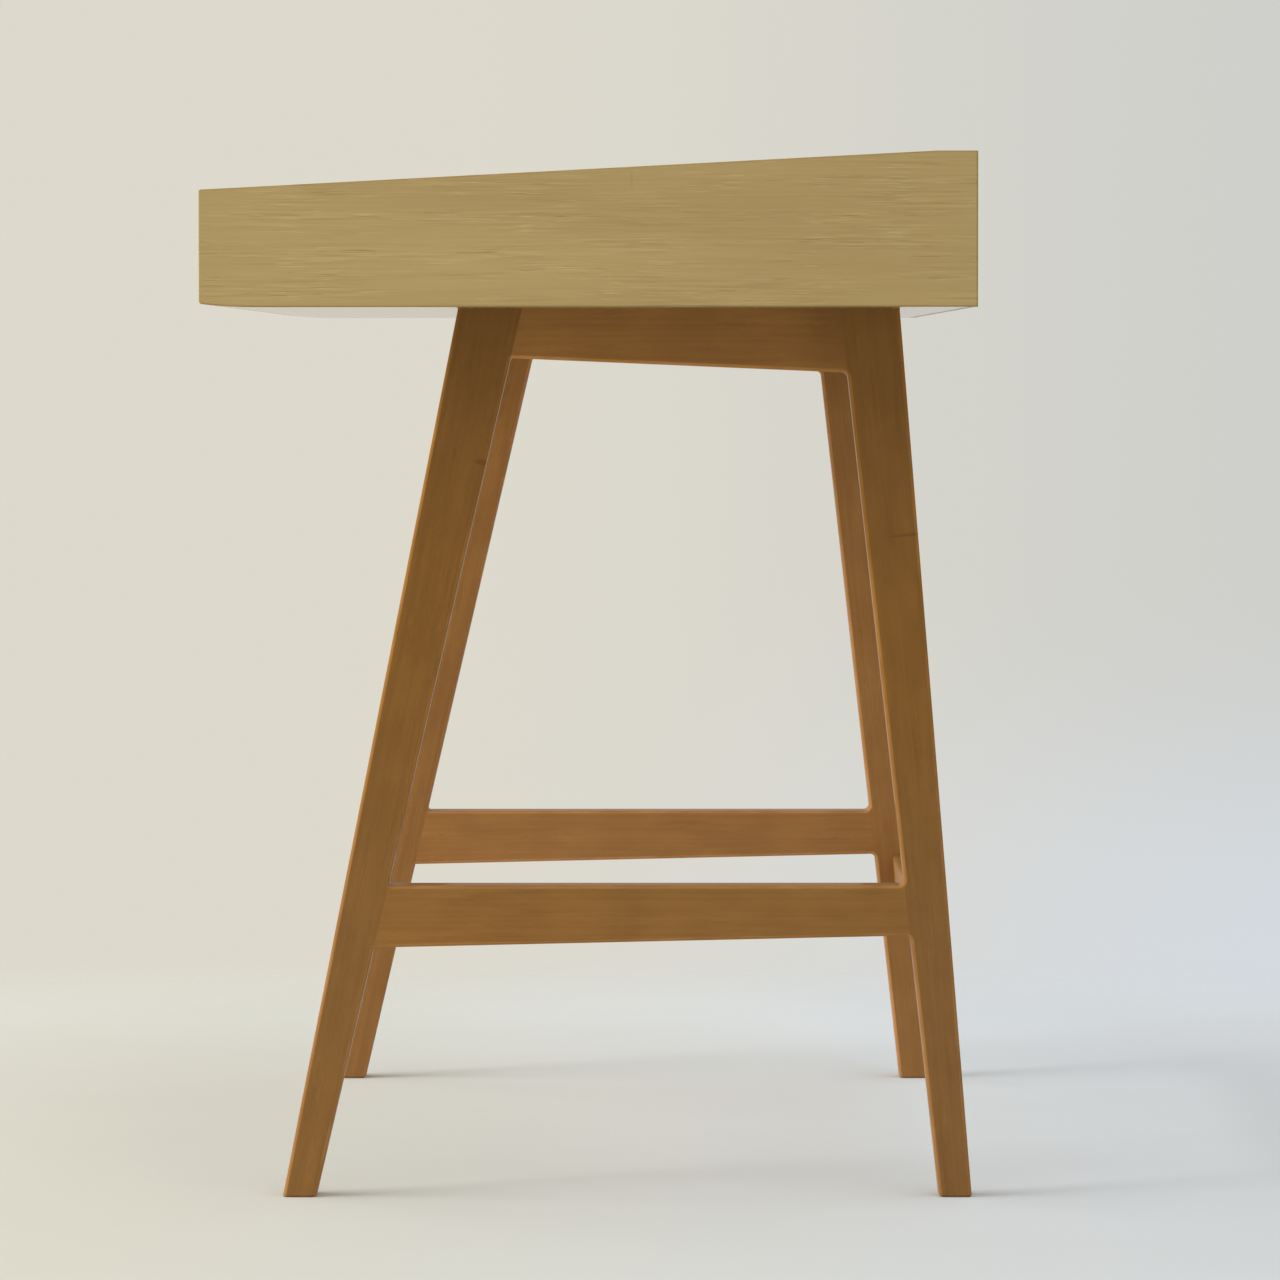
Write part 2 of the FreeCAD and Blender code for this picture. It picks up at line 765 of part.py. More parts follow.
def stay_nodes():
    """The five nodes of the right stay."""
    outward = Vector(1, 0, 0)
    pin_hole = rod_x(stop_pin_radius + pin_seat_clearance, stay_inner_x - overrun, stay_outer_x + overrun,
                     stay_point(stop_angle()))
    stay = stay_arc().fuse(stay_foot(0, 0)).removeSplitter()
    stay = stay.cut([pin_hole] + stay_screw_holes())
    pin = rod_x(stop_pin_radius, stay_inner_x - stop_pin_reach, stay_outer_x, stay_point(stop_angle()))
    pin = pin.makeFillet(stop_pin_radius / 3, [circle_furthest(pin, -outward)])
    foot_screw = screw(brass_screw_head_radius, brass_screw_radius, stay_screw_length)
    guide_screw = screw(guide_screw_head_radius, guide_screw_radius, guide_screw_length)
    return {
        "lid_stay": [stay],
        "stay_stop_pin": [pin],
        "stay_foot_screws": [placed(foot_screw, place, lid_up()) for place in stay_screw_places()],
        "stay_guide": [stay_guide()],
        "stay_guide_screws": [placed(guide_screw, place, outward) for place in guide_screw_places()],
    }


# Side frames


front_leg_inner_top = front_y + front_leg_top_setback + front_leg_top_width
front_leg_inner_foot = front_y + front_leg_foot_setback + front_leg_foot_width
rear_leg_inner_top = rear_y - rear_leg_top_setback - rear_leg_top_width
rear_leg_inner_foot = rear_y + rear_leg_foot_overhang - rear_leg_foot_width


def line_y(foot, top, z):
    """Depth at a height on a straight edge from the floor to the frame's top."""
    return foot + (top - foot) * z / frame_height


def front_inner(z):
    """Point of the front leg's inner edge at a height."""
    return Vector(0, line_y(front_leg_inner_foot, front_leg_inner_top, z), z)


def rear_inner(z):
    """Point of the rear leg's inner edge at a height."""
    return Vector(0, line_y(rear_leg_inner_foot, rear_leg_inner_top, z), z)


def whole_frame():
    """Side frame before it is parted: outline, rounded window and rounded arrises."""
    rail_front_low = frame_height - top_rail_front_depth
    rail_rear_low = frame_height - top_rail_rear_depth
    stretcher_front_low = stretcher_top_height - stretcher_front_depth
    stretcher_rear_low = stretcher_top_height - stretcher_rear_depth
    outer = [
        Vector(0, front_y + front_leg_foot_setback, 0),
        Vector(0, front_y + front_leg_top_setback, frame_height),
        Vector(0, rear_y - rear_leg_top_setback, frame_height),
        Vector(0, rear_y + rear_leg_foot_overhang, 0),
        rear_inner(0),
        rear_inner(stretcher_rear_low),
        front_inner(stretcher_front_low),
        front_inner(0),
    ]
    outer_radii = [0, 0, 0, 0, 0, window_rear_radius, window_front_radius, 0]
    window = [
        front_inner(stretcher_top_height),
        front_inner(rail_front_low),
        rear_inner(rail_rear_low),
        rear_inner(stretcher_top_height),
    ]
    window_radii = [window_front_radius, window_front_radius, window_rear_radius, window_rear_radius]
    face = Part.Face([polygon_with_rounds(outer, outer_radii), polygon_with_rounds(window, window_radii)])
    face.validate()
    face.translate(Vector(frame_inner_x, 0, 0))
    frame = face.extrude(Vector(frame_thickness, 0, 0))
    arrises = []
    for x in (frame_inner_x, frame_outer_x):
        for edge in edges_where(frame, lambda p, x=x: near(p.x, x)):
            heights = [vertex.Z for vertex in edge.Vertexes]
            at_end = all(near(z, 0) for z in heights) or all(near(z, frame_height) for z in heights)
            if not at_end:
                arrises.append(edge)
    frame = frame.makeFillet(arris_radius, arrises)
    foot_edges = edges_where(frame, lambda p: near(p.z, 0))
    return frame.makeChamfer(foot_chamfer, foot_edges)


def leg_region(inner_low, inner_high, outer_y):
    """Block that holds one leg, bounded by the leg's straight inner edge."""
    return prism([
        inner_low,
        inner_high,
        Vector(0, outer_y, inner_high.z),
        Vector(0, outer_y, inner_low.z),
    ], frame_inner_x - overrun, frame_outer_x + overrun)


def tenon_box(centre, thickness, width, reach, grow, end_room):
    """Tenon across a joint at a centre, or its mortise when it is grown."""
    half_x = thickness / 2 + grow
    half_y = reach + end_room
    half_z = width / 2 + grow
    return box(centre.x - half_x, centre.x + half_x, centre.y - half_y, centre.y + half_y,
               centre.z - half_z, centre.z + half_z)


def frame_tenon_specs():
    """For each pair of joints: centres, width and reach of its tenons."""
    rail_z = frame_height - top_rail_front_depth / 2
    stretcher_front_z = stretcher_top_height - stretcher_front_depth / 2
    stretcher_rear_z = stretcher_top_height - stretcher_rear_depth / 2
    shift = Vector(frame_mid_x, 0, 0)
    rail = [front_inner(rail_z) + shift, rear_inner(rail_z) + shift]
    stretcher = [front_inner(stretcher_front_z) + shift, rear_inner(stretcher_rear_z) + shift]
    return {
        "top_rail_tenons": (rail, rail_tenon_width, rail_tenon_reach),
        "stretcher_tenons": (stretcher, stretcher_tenon_width, stretcher_tenon_reach),
    }


def frame_tenons(name, mortise):
    """Tenons of one pair of joints in the right frame, or their mortises."""
    centres, width, reach = frame_tenon_specs()[name]
    grow = glue_gap if mortise else 0
    end_room = mortise_end_room if mortise else 0
    blocks = [tenon_box(centre, tenon_thickness, width, reach, grow, end_room) for centre in centres]
    if mortise:
        return blocks
    rounded = []
    for block in blocks:
        long_edges = [edge for edge in block.Edges if near(edge.Length, 2 * reach)]
        rounded.append(block.makeFillet(tenon_thickness / 3, long_edges))
    return rounded


def bolt_places():
    """Places of the right frame's bolts, at the face between rail and case."""
    front_tenon, rear_tenon = frame_tenon_specs()["top_rail_tenons"][0]
    margin = rail_tenon_reach + mortise_end_room + bolt_tenon_gap + bolt_recess_radius
    first = front_tenon.y + margin
    last = rear_tenon.y - margin
    step = (last - first) / (bolts_per_frame - 1)
    return [Vector(frame_mid_x, first + index * step, frame_height) for index in range(bolts_per_frame)]


def bolt_holes():
    """Clearance holes for the bolts with a wide recess up to the washer."""
    holes = []
    up = Vector(0, 0, 1)
    narrow = bolt_radius + bolt_hole_clearance
    low = stretcher_top_height
    for place in bolt_places():
        start = Vector(place.x, place.y, low)
        holes.append(rod(narrow, start, up, frame_height + overrun - low))
        holes.append(rod(bolt_recess_radius, start, up, place.z - bolt_grip - low))
    return holes


def frame_bolt():
    """Socket head bolt with its head's bearing face at the origin and its shank along +Z."""
    up = Vector(0, 0, 1)
    shank = Part.makeCylinder(bolt_radius, washer_thickness + bolt_grip + bolt_insert_reach)
    shank = shank.makeChamfer(bolt_radius / 4, [circle_furthest(shank, up)])
    head = Part.makeCylinder(bolt_head_radius, bolt_head_height, -up * bolt_head_height)
    head = head.makeChamfer(bolt_head_radius / 10, [circle_furthest(head, -up)])
    corner_radius = bolt_socket_across / math.sqrt(3)
    corners = [Vector(corner_radius * math.cos(k * math.pi / 3), corner_radius * math.sin(k * math.pi / 3),
                      -bolt_head_height) for k in range(6)]
    socket = Part.Face(Part.makePolygon(corners + [corners[0]])).extrude(up * bolt_socket_depth)
    return shank.fuse(head).removeSplitter().cut(socket)


def frame_washer():
    """Plain washer with its lower face at the origin."""
    ring = Part.makeCylinder(washer_radius, washer_thickness)
    return ring.cut(Part.makeCylinder(bolt_radius + bolt_hole_clearance, washer_thickness))


def frame_insert():
    """Threaded insert with flutes along its outside."""
    sleeve = Part.makeCylinder(insert_radius, insert_length)
    bore = Part.makeCylinder(bolt_radius + screw_clearance, insert_length)
    flutes = []
    for index in range(insert_flute_count):
        angle = 2 * math.pi * index / insert_flute_count
        foot = Vector(insert_radius * math.cos(angle), insert_radius * math.sin(angle), 0)
        flutes.append(Part.makeCylinder(insert_flute_radius, insert_length, foot))
    return sleeve.cut([bore] + flutes)


def cross_rail_outline(grow_low, thickness, offset):
    """Corners of a slanted board that follows the rear leg's outer edge."""
    top_z = stretcher_top_height - stretcher_rear_depth
    low_z = top_z - cross_rail_depth
    foot = rear_y + rear_leg_foot_overhang
    top = rear_y - rear_leg_top_setback
    lean = math.atan2(foot - top, frame_height)
    along = Vector(0, math.sin(lean), -math.cos(lean))
    inward = Vector(0, -math.cos(lean), -math.sin(lean))
    start = Vector(0, line_y(foot, top, top_z), top_z) + inward * offset + along * grow_low
    end = Vector(0, line_y(foot, top, low_z), low_z) + inward * offset - along * grow_low
    return [start, end, end + inward * thickness, start + inward * thickness]


def rear_cross_rail():
    """Rail between the rear legs, flush with their rear edges."""
    rail = prism(cross_rail_outline(0, cross_rail_thickness, 0), -frame_inner_x, frame_inner_x)
    long_edges = [edge for edge in rail.Edges if near(edge.Length, 2 * frame_inner_x)]
    rail = rail.makeFillet(arris_radius, long_edges)
    right = cross_tenon(glue_gap, mortise_end_room)
    return rail.cut([right, mirrored(right)])


def cross_tenon(grow, end_room):
    """Tenon between the cross-rail and the right rear leg, or its mortise when it is grown."""
    margin = (cross_rail_depth - cross_tenon_width) / 2 - grow
    inset = (cross_rail_thickness - cross_tenon_thickness) / 2 - grow
    reach = cross_tenon_reach + end_room
    return prism(cross_rail_outline(margin, cross_tenon_thickness + 2 * grow, inset),
                 frame_inner_x - reach, frame_inner_x + reach)


def frame_nodes():
    """Nodes of the right side frame."""
    whole = whole_frame()
    low = -overrun
    high = frame_height + overrun
    front_block = leg_region(front_inner(low), front_inner(high), front_y - overrun)
    rear_block = leg_region(rear_inner(low), rear_inner(high), rear_y + rear_leg_foot_overhang + overrun)
    between = whole.cut([front_block, rear_block])
    stretcher, top_rail = sorted(between.Solids, key=lambda solid: solid.CenterOfMass.z)
    mortises = frame_tenons("top_rail_tenons", True) + frame_tenons("stretcher_tenons", True)
    front_leg = whole.common(front_block).cut(mortises)
    rear_leg = whole.common(rear_block).cut(mortises + [cross_tenon(glue_gap, mortise_end_room)])
    up = Vector(0, 0, 1)
    seats = [place - up * bolt_grip for place in bolt_places()]
    bolt = frame_bolt()
    washer = frame_washer()
    insert = frame_insert()
    return {
        "front_leg": [front_leg],
        "rear_leg": [rear_leg],
        "top_rail": [top_rail.cut(mortises + bolt_holes())],
        "side_stretcher": [stretcher.cut(mortises)],
        "top_rail_tenons": frame_tenons("top_rail_tenons", False),
        "stretcher_tenons": frame_tenons("stretcher_tenons", False),
        "frame_bolts": [placed(bolt, seat - up * washer_thickness, up) for seat in seats],
        "frame_washers": [placed(washer, seat - up * washer_thickness, up) for seat in seats],
        "frame_inserts": [placed(insert, place, up) for place in bolt_places()],
    }


def main():
    """Make every node and write it."""
    os.makedirs("parts", exist_ok=True)
    right_panel = side_panel()
    bottom_screw = screw(bottom_screw_head_radius, bottom_screw_radius, bottom_screw_length)
    right_cross_tenon = cross_tenon(0, 0)
    nodes = {
        "right_side_panel": [right_panel],
        "left_side_panel": [mirrored(right_panel)],
        "front_panel": [front_panel()],
        "back_panel": [back_panel()],
        "bottom_panel": [bottom_panel()],
        "rear_top_rail": [rear_top_rail()],
        "front_panel_dowels": end_dowels("front", False),
        "back_panel_dowels": end_dowels("back", False),
        "rear_rail_dowels": end_dowels("rail", False),
        "bottom_screws": [placed(bottom_screw, place, Vector(0, 0, 1)) for place in bottom_screw_places()],
        "lid_bumpers": lid_bumpers(),
        "lid": [lid()],
        "rear_cross_rail": [rear_cross_rail()],
        "cross_rail_tenons": [right_cross_tenon, mirrored(right_cross_tenon)],
    }
    for group in (hinge_nodes(), stay_nodes(), frame_nodes()):
        for name, solids in group.items():
            nodes["right_" + name] = solids
            nodes["left_" + name] = [mirrored(solid) for solid in solids]
    for name, solids in nodes.items():
        flat = [solid for shape in solids for solid in shape.Solids]
        export(name, flat)
        volume = sum(solid.Volume for solid in flat)
        print(name, len(flat), "solids,", round(volume / 1000, 2), "cm3")
    open_angle = stop_angle() - math.asin((-guide_low + stop_pin_radius + guide_clearance) / stay_radius)
    print("nodes", len(nodes), "lid opens to", round(math.degrees(open_angle), 1), "degrees")
    print("hinge axis y, z", round(hinge_y, 3), round(hinge_z, 3))


main()
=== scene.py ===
import sys
import logging
import math
from collections.abc import Callable
from dataclasses import asdict, dataclass, fields, replace
from enum import Enum

import bpy
import numpy as np
from mathutils import Matrix, Vector


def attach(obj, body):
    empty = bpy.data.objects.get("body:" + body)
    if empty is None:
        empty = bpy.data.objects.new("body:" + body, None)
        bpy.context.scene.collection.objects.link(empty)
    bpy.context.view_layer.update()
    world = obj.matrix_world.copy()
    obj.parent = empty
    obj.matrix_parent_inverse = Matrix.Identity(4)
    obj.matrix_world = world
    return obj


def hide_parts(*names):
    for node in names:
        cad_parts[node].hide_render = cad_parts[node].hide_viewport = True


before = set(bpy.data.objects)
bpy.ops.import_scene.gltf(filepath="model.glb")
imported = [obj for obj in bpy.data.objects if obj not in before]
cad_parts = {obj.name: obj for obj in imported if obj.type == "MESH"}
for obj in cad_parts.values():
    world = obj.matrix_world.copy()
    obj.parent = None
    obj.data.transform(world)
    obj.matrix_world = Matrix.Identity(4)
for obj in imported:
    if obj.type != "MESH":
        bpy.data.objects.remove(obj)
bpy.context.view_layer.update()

# The looks of the writing desk: woods, metal fittings and their screws, small turned
# parts, floor, light and camera. Lengths are in metres. X runs along the desk, Y from
# the user to the rear and Z up, as in the frame.

log = logging.getLogger("writing_desk")

Material = bpy.types.Material
Node = bpy.types.Node
Socket = bpy.types.NodeSocket
Colour = tuple[float, float, float, float]
Triple = tuple[float, float, float]
Span = tuple[float, float]
Inputs = dict[str | int, object]

MILLIMETRE = 0.001
ALONG = Vector((1, 0, 0))
UP = Vector((0, 0, 1))

# Results of an ease, and the span that soft noise seldom leaves.
RISE: Span = (0.0, 1.0)
FALL: Span = (1.0, 0.0)
NOISE_SPAN: Span = (0.3, 0.7)
MIDDLE_NOISE: Triple = (0.5, 0.5, 0.5)


def tone(red: int, green: int, blue: int) -> Colour:
    """Turn a colour as a screen shows it into the linear one that shaders take.

    Args:
        red: Red, from 0 to 255.
        green: Green, from 0 to 255.
        blue: Blue, from 0 to 255.

    Returns:
        The linear colour with full opacity.
    """
    shares = [value / 255 for value in (red, green, blue)]
    linear = [share / 12.92 if share <= 0.04045 else ((share + 0.055) / 1.055) ** 2.4 for share in shares]
    return (linear[0], linear[1], linear[2], 1.0)


class Side(Enum):
    """The two ends of the desk, as the user sees them."""

    RIGHT = 1
    LEFT = -1

    @property
    def prefix(self) -> str:
        """Start of the names of the nodes on this side."""
        return self.name.lower() + "_"

    @property
    def outward(self) -> Vector:
        """Direction from the desk's middle to this end."""
        return ALONG * self.value


class Drive(Enum):
    """What a screwdriver or key finds in a screw's head."""

    NONE = "none"
    SLOT = "slot"
    HEXAGON = "hexagon"


class Body(Enum):
    """The bodies of the frame."""

    DESK = "desk"
    LID = "lid"


# Node trees


class NodeSheet:
    """Adds nodes to one tree and joins them, for shaders and shapes alike."""

    def __init__(self, tree: bpy.types.NodeTree) -> None:
        """Take the tree that the nodes go into."""
        self.tree = tree

    def feed(self, node: Node, inputs: Inputs) -> None:
        """Join a node's inputs to other nodes' outputs, or set their own values.

        Args:
            node: The node.
            inputs: What its inputs take, by name or number.
        """
        for key, value in inputs.items():
            if isinstance(value, Socket):
                self.tree.links.new(value, node.inputs[key])
            else:
                node.inputs[key].default_value = value

    def add(self, kind: str, inputs: Inputs | None = None, **settings: object) -> Node:
        """Add a node, set its properties and feed its inputs.

        Args:
            kind: Type name of the node.
            inputs: What its inputs take, by name or number.
            settings: Properties of the node by name.

        Returns:
            The new node.
        """
        node = self.tree.nodes.new(kind)
        for name, value in settings.items():
            setattr(node, name, value)
        self.feed(node, inputs or {})
        return node

    def calc(self, operation: str, *values: object) -> Socket:
        """Do a sum on numbers or on sockets that give them."""
        return self.add("ShaderNodeMath", dict(enumerate(values)), operation=operation).outputs[0]

    def chain(self, operation: str, first: object, *others: object) -> Socket:
        """Do the same sum with several numbers, one after the other.

        Args:
            operation: Name of the operation.
            first: The number to start with.
            others: The numbers that follow.

        Returns:
            The socket with the result.
        """
        for other in others:
            first = self.calc(operation, first, other)
        return first

    def vector(self, operation: str, *values: object) -> Socket:
        """Do a sum on vectors, whose result is a number for a length and else a vector."""
        node = self.add("ShaderNodeVectorMath", dict(enumerate(values)), operation=operation)
        return node.outputs["Value" if operation in ("LENGTH", "DOT_PRODUCT") else "Vector"]

    def scaled(self, vector: Socket, factor: object) -> Socket:
        """Multiply a vector by one number."""
        inputs = {"Vector": vector, "Scale": factor}
        return self.add("ShaderNodeVectorMath", inputs, operation="SCALE").outputs["Vector"]

    def parts(self, vector: Socket) -> bpy.types.bpy_prop_collection:
        """Part a vector into its X, Y and Z."""
        return self.add("ShaderNodeSeparateXYZ", {0: vector}).outputs

    def joined(self, **parts: object) -> Socket:
        """Make a vector of the parts given as X, Y and Z."""
        return self.add("ShaderNodeCombineXYZ", parts).outputs[0]

    def noise(self, place: Socket, counts: object, detail: float = 2.0, output: str = "Fac") -> Socket:
        """Give soft noise, as Fac or Color, with a count of features a metre along each axis."""
        inputs = {"Vector": self.vector("MULTIPLY", place, counts), "Scale": 1.0, "Detail": detail}
        return self.add("ShaderNodeTexNoise", inputs).outputs[output]

    def noise_along(self, value: Socket, count: float) -> Socket:
        """Give soft noise along one number, with a count of features for each unit of it."""
        inputs = {"W": value, "Scale": count, "Detail": 1.0}
        return self.add("ShaderNodeTexNoise", inputs, noise_dimensions="1D").outputs["Fac"]

    def ease(self, value: Socket, span: tuple[object, object], result: Span = RISE) -> Socket:
        """Turn a value softly over a span, from one result to the other, and hold it beyond."""
        names = ("Value", "From Min", "From Max", "To Min", "To Max")
        inputs = dict(zip(names, (value, *span, *result)))
        return self.add("ShaderNodeMapRange", inputs, interpolation_type="SMOOTHSTEP").outputs["Result"]

    def blend(self, factor: object, first: object, second: object, mode: str = "MIX") -> Socket:
        """Mix two colours.

        Args:
            factor: How much of the second colour shows.
            first: Colour at factor 0.
            second: Colour at factor 1.
            mode: How the second colour is laid on the first.

        Returns:
            The socket with the colour.
        """
        node = self.add("ShaderNodeMix", {"Factor": factor}, data_type="RGBA", blend_type=mode)
        keys = [index for index, socket in enumerate(node.inputs) if socket.type == "RGBA"]
        self.feed(node, {keys[0]: first, keys[1]: second})
        return next(socket for socket in node.outputs if socket.type == "RGBA")

    def tinted(self, share: object, colour: Socket, tint: object) -> Socket:
        """Multiply a colour by a tint as far as the share says."""
        return self.blend(share, colour, self.blend(1.0, colour, tint, "MULTIPLY"))

    def bump(self, strength: float, depth: float, height: Socket, **more: object) -> Socket:
        """Tilt the surface as its height says, on top of a Normal where one is given."""
        inputs = {"Strength": strength, "Distance": depth, "Height": height, **more}
        return self.add("ShaderNodeBump", inputs).outputs["Normal"]


def new_material(name: str) -> tuple[Material, NodeSheet, Node]:
    """Make an empty material with a shader joined to its output.

    Args:
        name: Name of the material.

    Returns:
        The material, its sheet of nodes and its shader.
    """
    material = bpy.data.materials.new(name)
    material.use_nodes = True
    material.node_tree.nodes.clear()
    sheet = NodeSheet(material.node_tree)
    shader = sheet.add("ShaderNodeBsdfPrincipled")
    sheet.add("ShaderNodeOutputMaterial", {"Surface": shader.outputs["BSDF"]})
    return material, sheet, shader


@dataclass(frozen=True)
class Cloud:
    """Soft noise, turned over a span of its values from one result to the other."""

    counts: Triple
    detail: float
    span: Span = NOISE_SPAN
    result: Span = RISE

    def over(self, sheet: NodeSheet, place: Socket) -> Socket:
        """Lay the noise out over a place."""
        return sheet.ease(sheet.noise(place, self.counts, self.detail), self.span, self.result)


# Woods


@dataclass(frozen=True)
class Mark:
    """A mark in a board: a fleck, a pin knot or a pale line, or a broad pale or dark patch, such as painted
    light at the tops of the legs.

    Its reach is half its size along the grain, across it and into the wood. Its core is
    the share of the reach that has the full darkness, which is below zero in a pale mark.
    """

    place: Triple
    reach: Triple
    darkness: float
    core: float = 0.25


@dataclass(frozen=True)
class Drift:
    """A soft change of colour along the grain, over a span."""

    start: Colour
    end: Colour
    span: Span


@dataclass(frozen=True)
class Board:
    """How one board was cut from its log.

    The grain is the direction that the log grew in, and the heart is where the log's
    middle lies, across the grain, seen from the board's own place. The shade changes
    along the grain, from the first value to the second over the span. Besides the
    board's own tone it holds painted light and shade, such as legs darkened towards
    their tops where the case shades them.
    """

    name: str
    grain: Triple
    heart: Span
    shade: Span = (1.0, 1.0)
    span: Span = (0.0, 1.0)
    marks: tuple[Mark, ...] = ()
    drift: Drift | None = None

    @property
    def turn(self) -> Matrix:
        """Rotation that lays the grain along the X axis."""
        return Vector(self.grain).rotation_difference(ALONG).to_matrix()


@dataclass(frozen=True)
class Figure:
    """A wood's figure: widths in metres, counts a metre, spans in shares of a year's growth."""

    ring_pitch: float
    ring_drift: float
    ring_waver: float
    pore_counts: Triple
    pore_share: float
    patch_counts: Triple
    streak_counts: Triple
    tone_counts: Triple
    drift_counts: Triple = (1.1, 4.0, 4.0)
    waver_counts: Triple = (7.0, 45.0, 45.0)
    year_count: float = 0.55
    year_spread: float = 2.6
    late_rise: Span = (0.1, 0.86)
    late_fall: Span = (0.9, 1.0)
    early_span: Span = (0.05, 0.55)
    early_pores: Span = (1.0, 0.25)
    pore_softness: float = 0.1
    dash_shift: Triple = (3.0, 5.0, 7.0)
    patch_span: Span = (0.4, 0.62)
    patch_result: Span = (0.15, 1.0)

    def lay_out(self, sheet: NodeSheet, place: Socket, heart: Span) -> dict[str, Socket]:
        """Work out the figure at each point of a board.

        Args:
            sheet: Where the nodes go.
            place: Place in the board, with the grain along X.
            heart: Where the log's middle lies across the grain.

        Returns:
            Sockets from 0 to 1 for late wood, pores, pale dashes, patches, streaks and tone.
        """
        bent = place
        for counts, reach in ((self.drift_counts, self.ring_drift), (self.waver_counts, self.ring_waver)):
            shift = sheet.vector("SUBTRACT", sheet.noise(place, counts, output="Color"), MIDDLE_NOISE)
            bent = sheet.vector("ADD", bent, sheet.scaled(shift, reach))
        across = sheet.vector("MULTIPLY", bent, (0.0, 1.0, 1.0))
        radius = sheet.vector("LENGTH", sheet.vector("SUBTRACT", across, (0.0, *heart)))
        years = sheet.calc("DIVIDE", radius, self.ring_pitch)
        years = sheet.calc("MULTIPLY_ADD", sheet.noise_along(years, self.year_count), self.year_spread, years)
        season = sheet.calc("FRACT", years)
        early = sheet.ease(season, self.early_span, self.early_pores)
        least = 1.0 - self.pore_share
        dots = []
        for spot in (place, sheet.vector("ADD", place, self.dash_shift)):
            grains = sheet.noise(spot, self.pore_counts, detail=1.0)
            dots.append(sheet.ease(grains, (least, least + self.pore_softness)))
        patch = sheet.ease(sheet.noise(place, self.patch_counts), self.patch_span, self.patch_result)
        rise, fall = sheet.ease(season, self.late_rise), sheet.ease(season, self.late_fall, FALL)
        return {
            "late": sheet.calc("MULTIPLY", rise, fall),
            "pores": sheet.chain("MULTIPLY", dots[0], early, patch),
            "dashes": sheet.calc("MULTIPLY", dots[1], patch),
            "patches": patch,
            "streaks": sheet.noise(place, self.streak_counts, detail=3.0),
            "tone": sheet.noise(place, self.tone_counts),
        }


@dataclass(frozen=True)
class WoodFinish:
    """A wood with its colours, its figure and the coat on it."""

    name: str
    pale: Colour
    deep: Colour
    pore: Colour
    dash: Colour
    figure: Figure
    ring_strength: float
    streak_strength: float
    tone_strength: float
    pore_strength: float
    dash_strength: float
    roughness: float
    coat_weight: float
    coat_roughness: float
    upper_coat: float = 1.0
    upper_span: Span = (0.5, 0.9)
    pore_roughness: float = 0.12
    streak_roughness: float = 0.06
    refraction: float = 1.5
    shine: float = 0.5
    shine_tint: Colour = (1.0, 1.0, 1.0, 1.0)
    ring_height: float = 0.25
    bump_strength: float = 0.6
    bump_depth: float = 0.12 * MILLIMETRE
    round_rise: Span = (0.01, 0.06)
    round_fall: Span = (0.998, 0.95)
    edge_reach: float = 2.5 * MILLIMETRE
    edge_samples: int = 6
    edge_open: Span = (0.95, 0.55)
    # Arrises are tinted as far as the gain says, and unevenly: pale wear by default, and a painted highlight
    # or painted shade where a wood sets the tint so.
    edge_gain: float = 0.1
    edge_light: Colour = (1.6, 1.5, 1.35, 1.0)
    edge_loss: float = 1.0
    wear: Cloud = Cloud((30.0, 90.0, 90.0), 3.0, (0.35, 0.65), (0.6, 1.0))

    def material(self, board: Board) -> Material:
        """Make the material of one board."""
        return BoardPainter(self, board).painted()


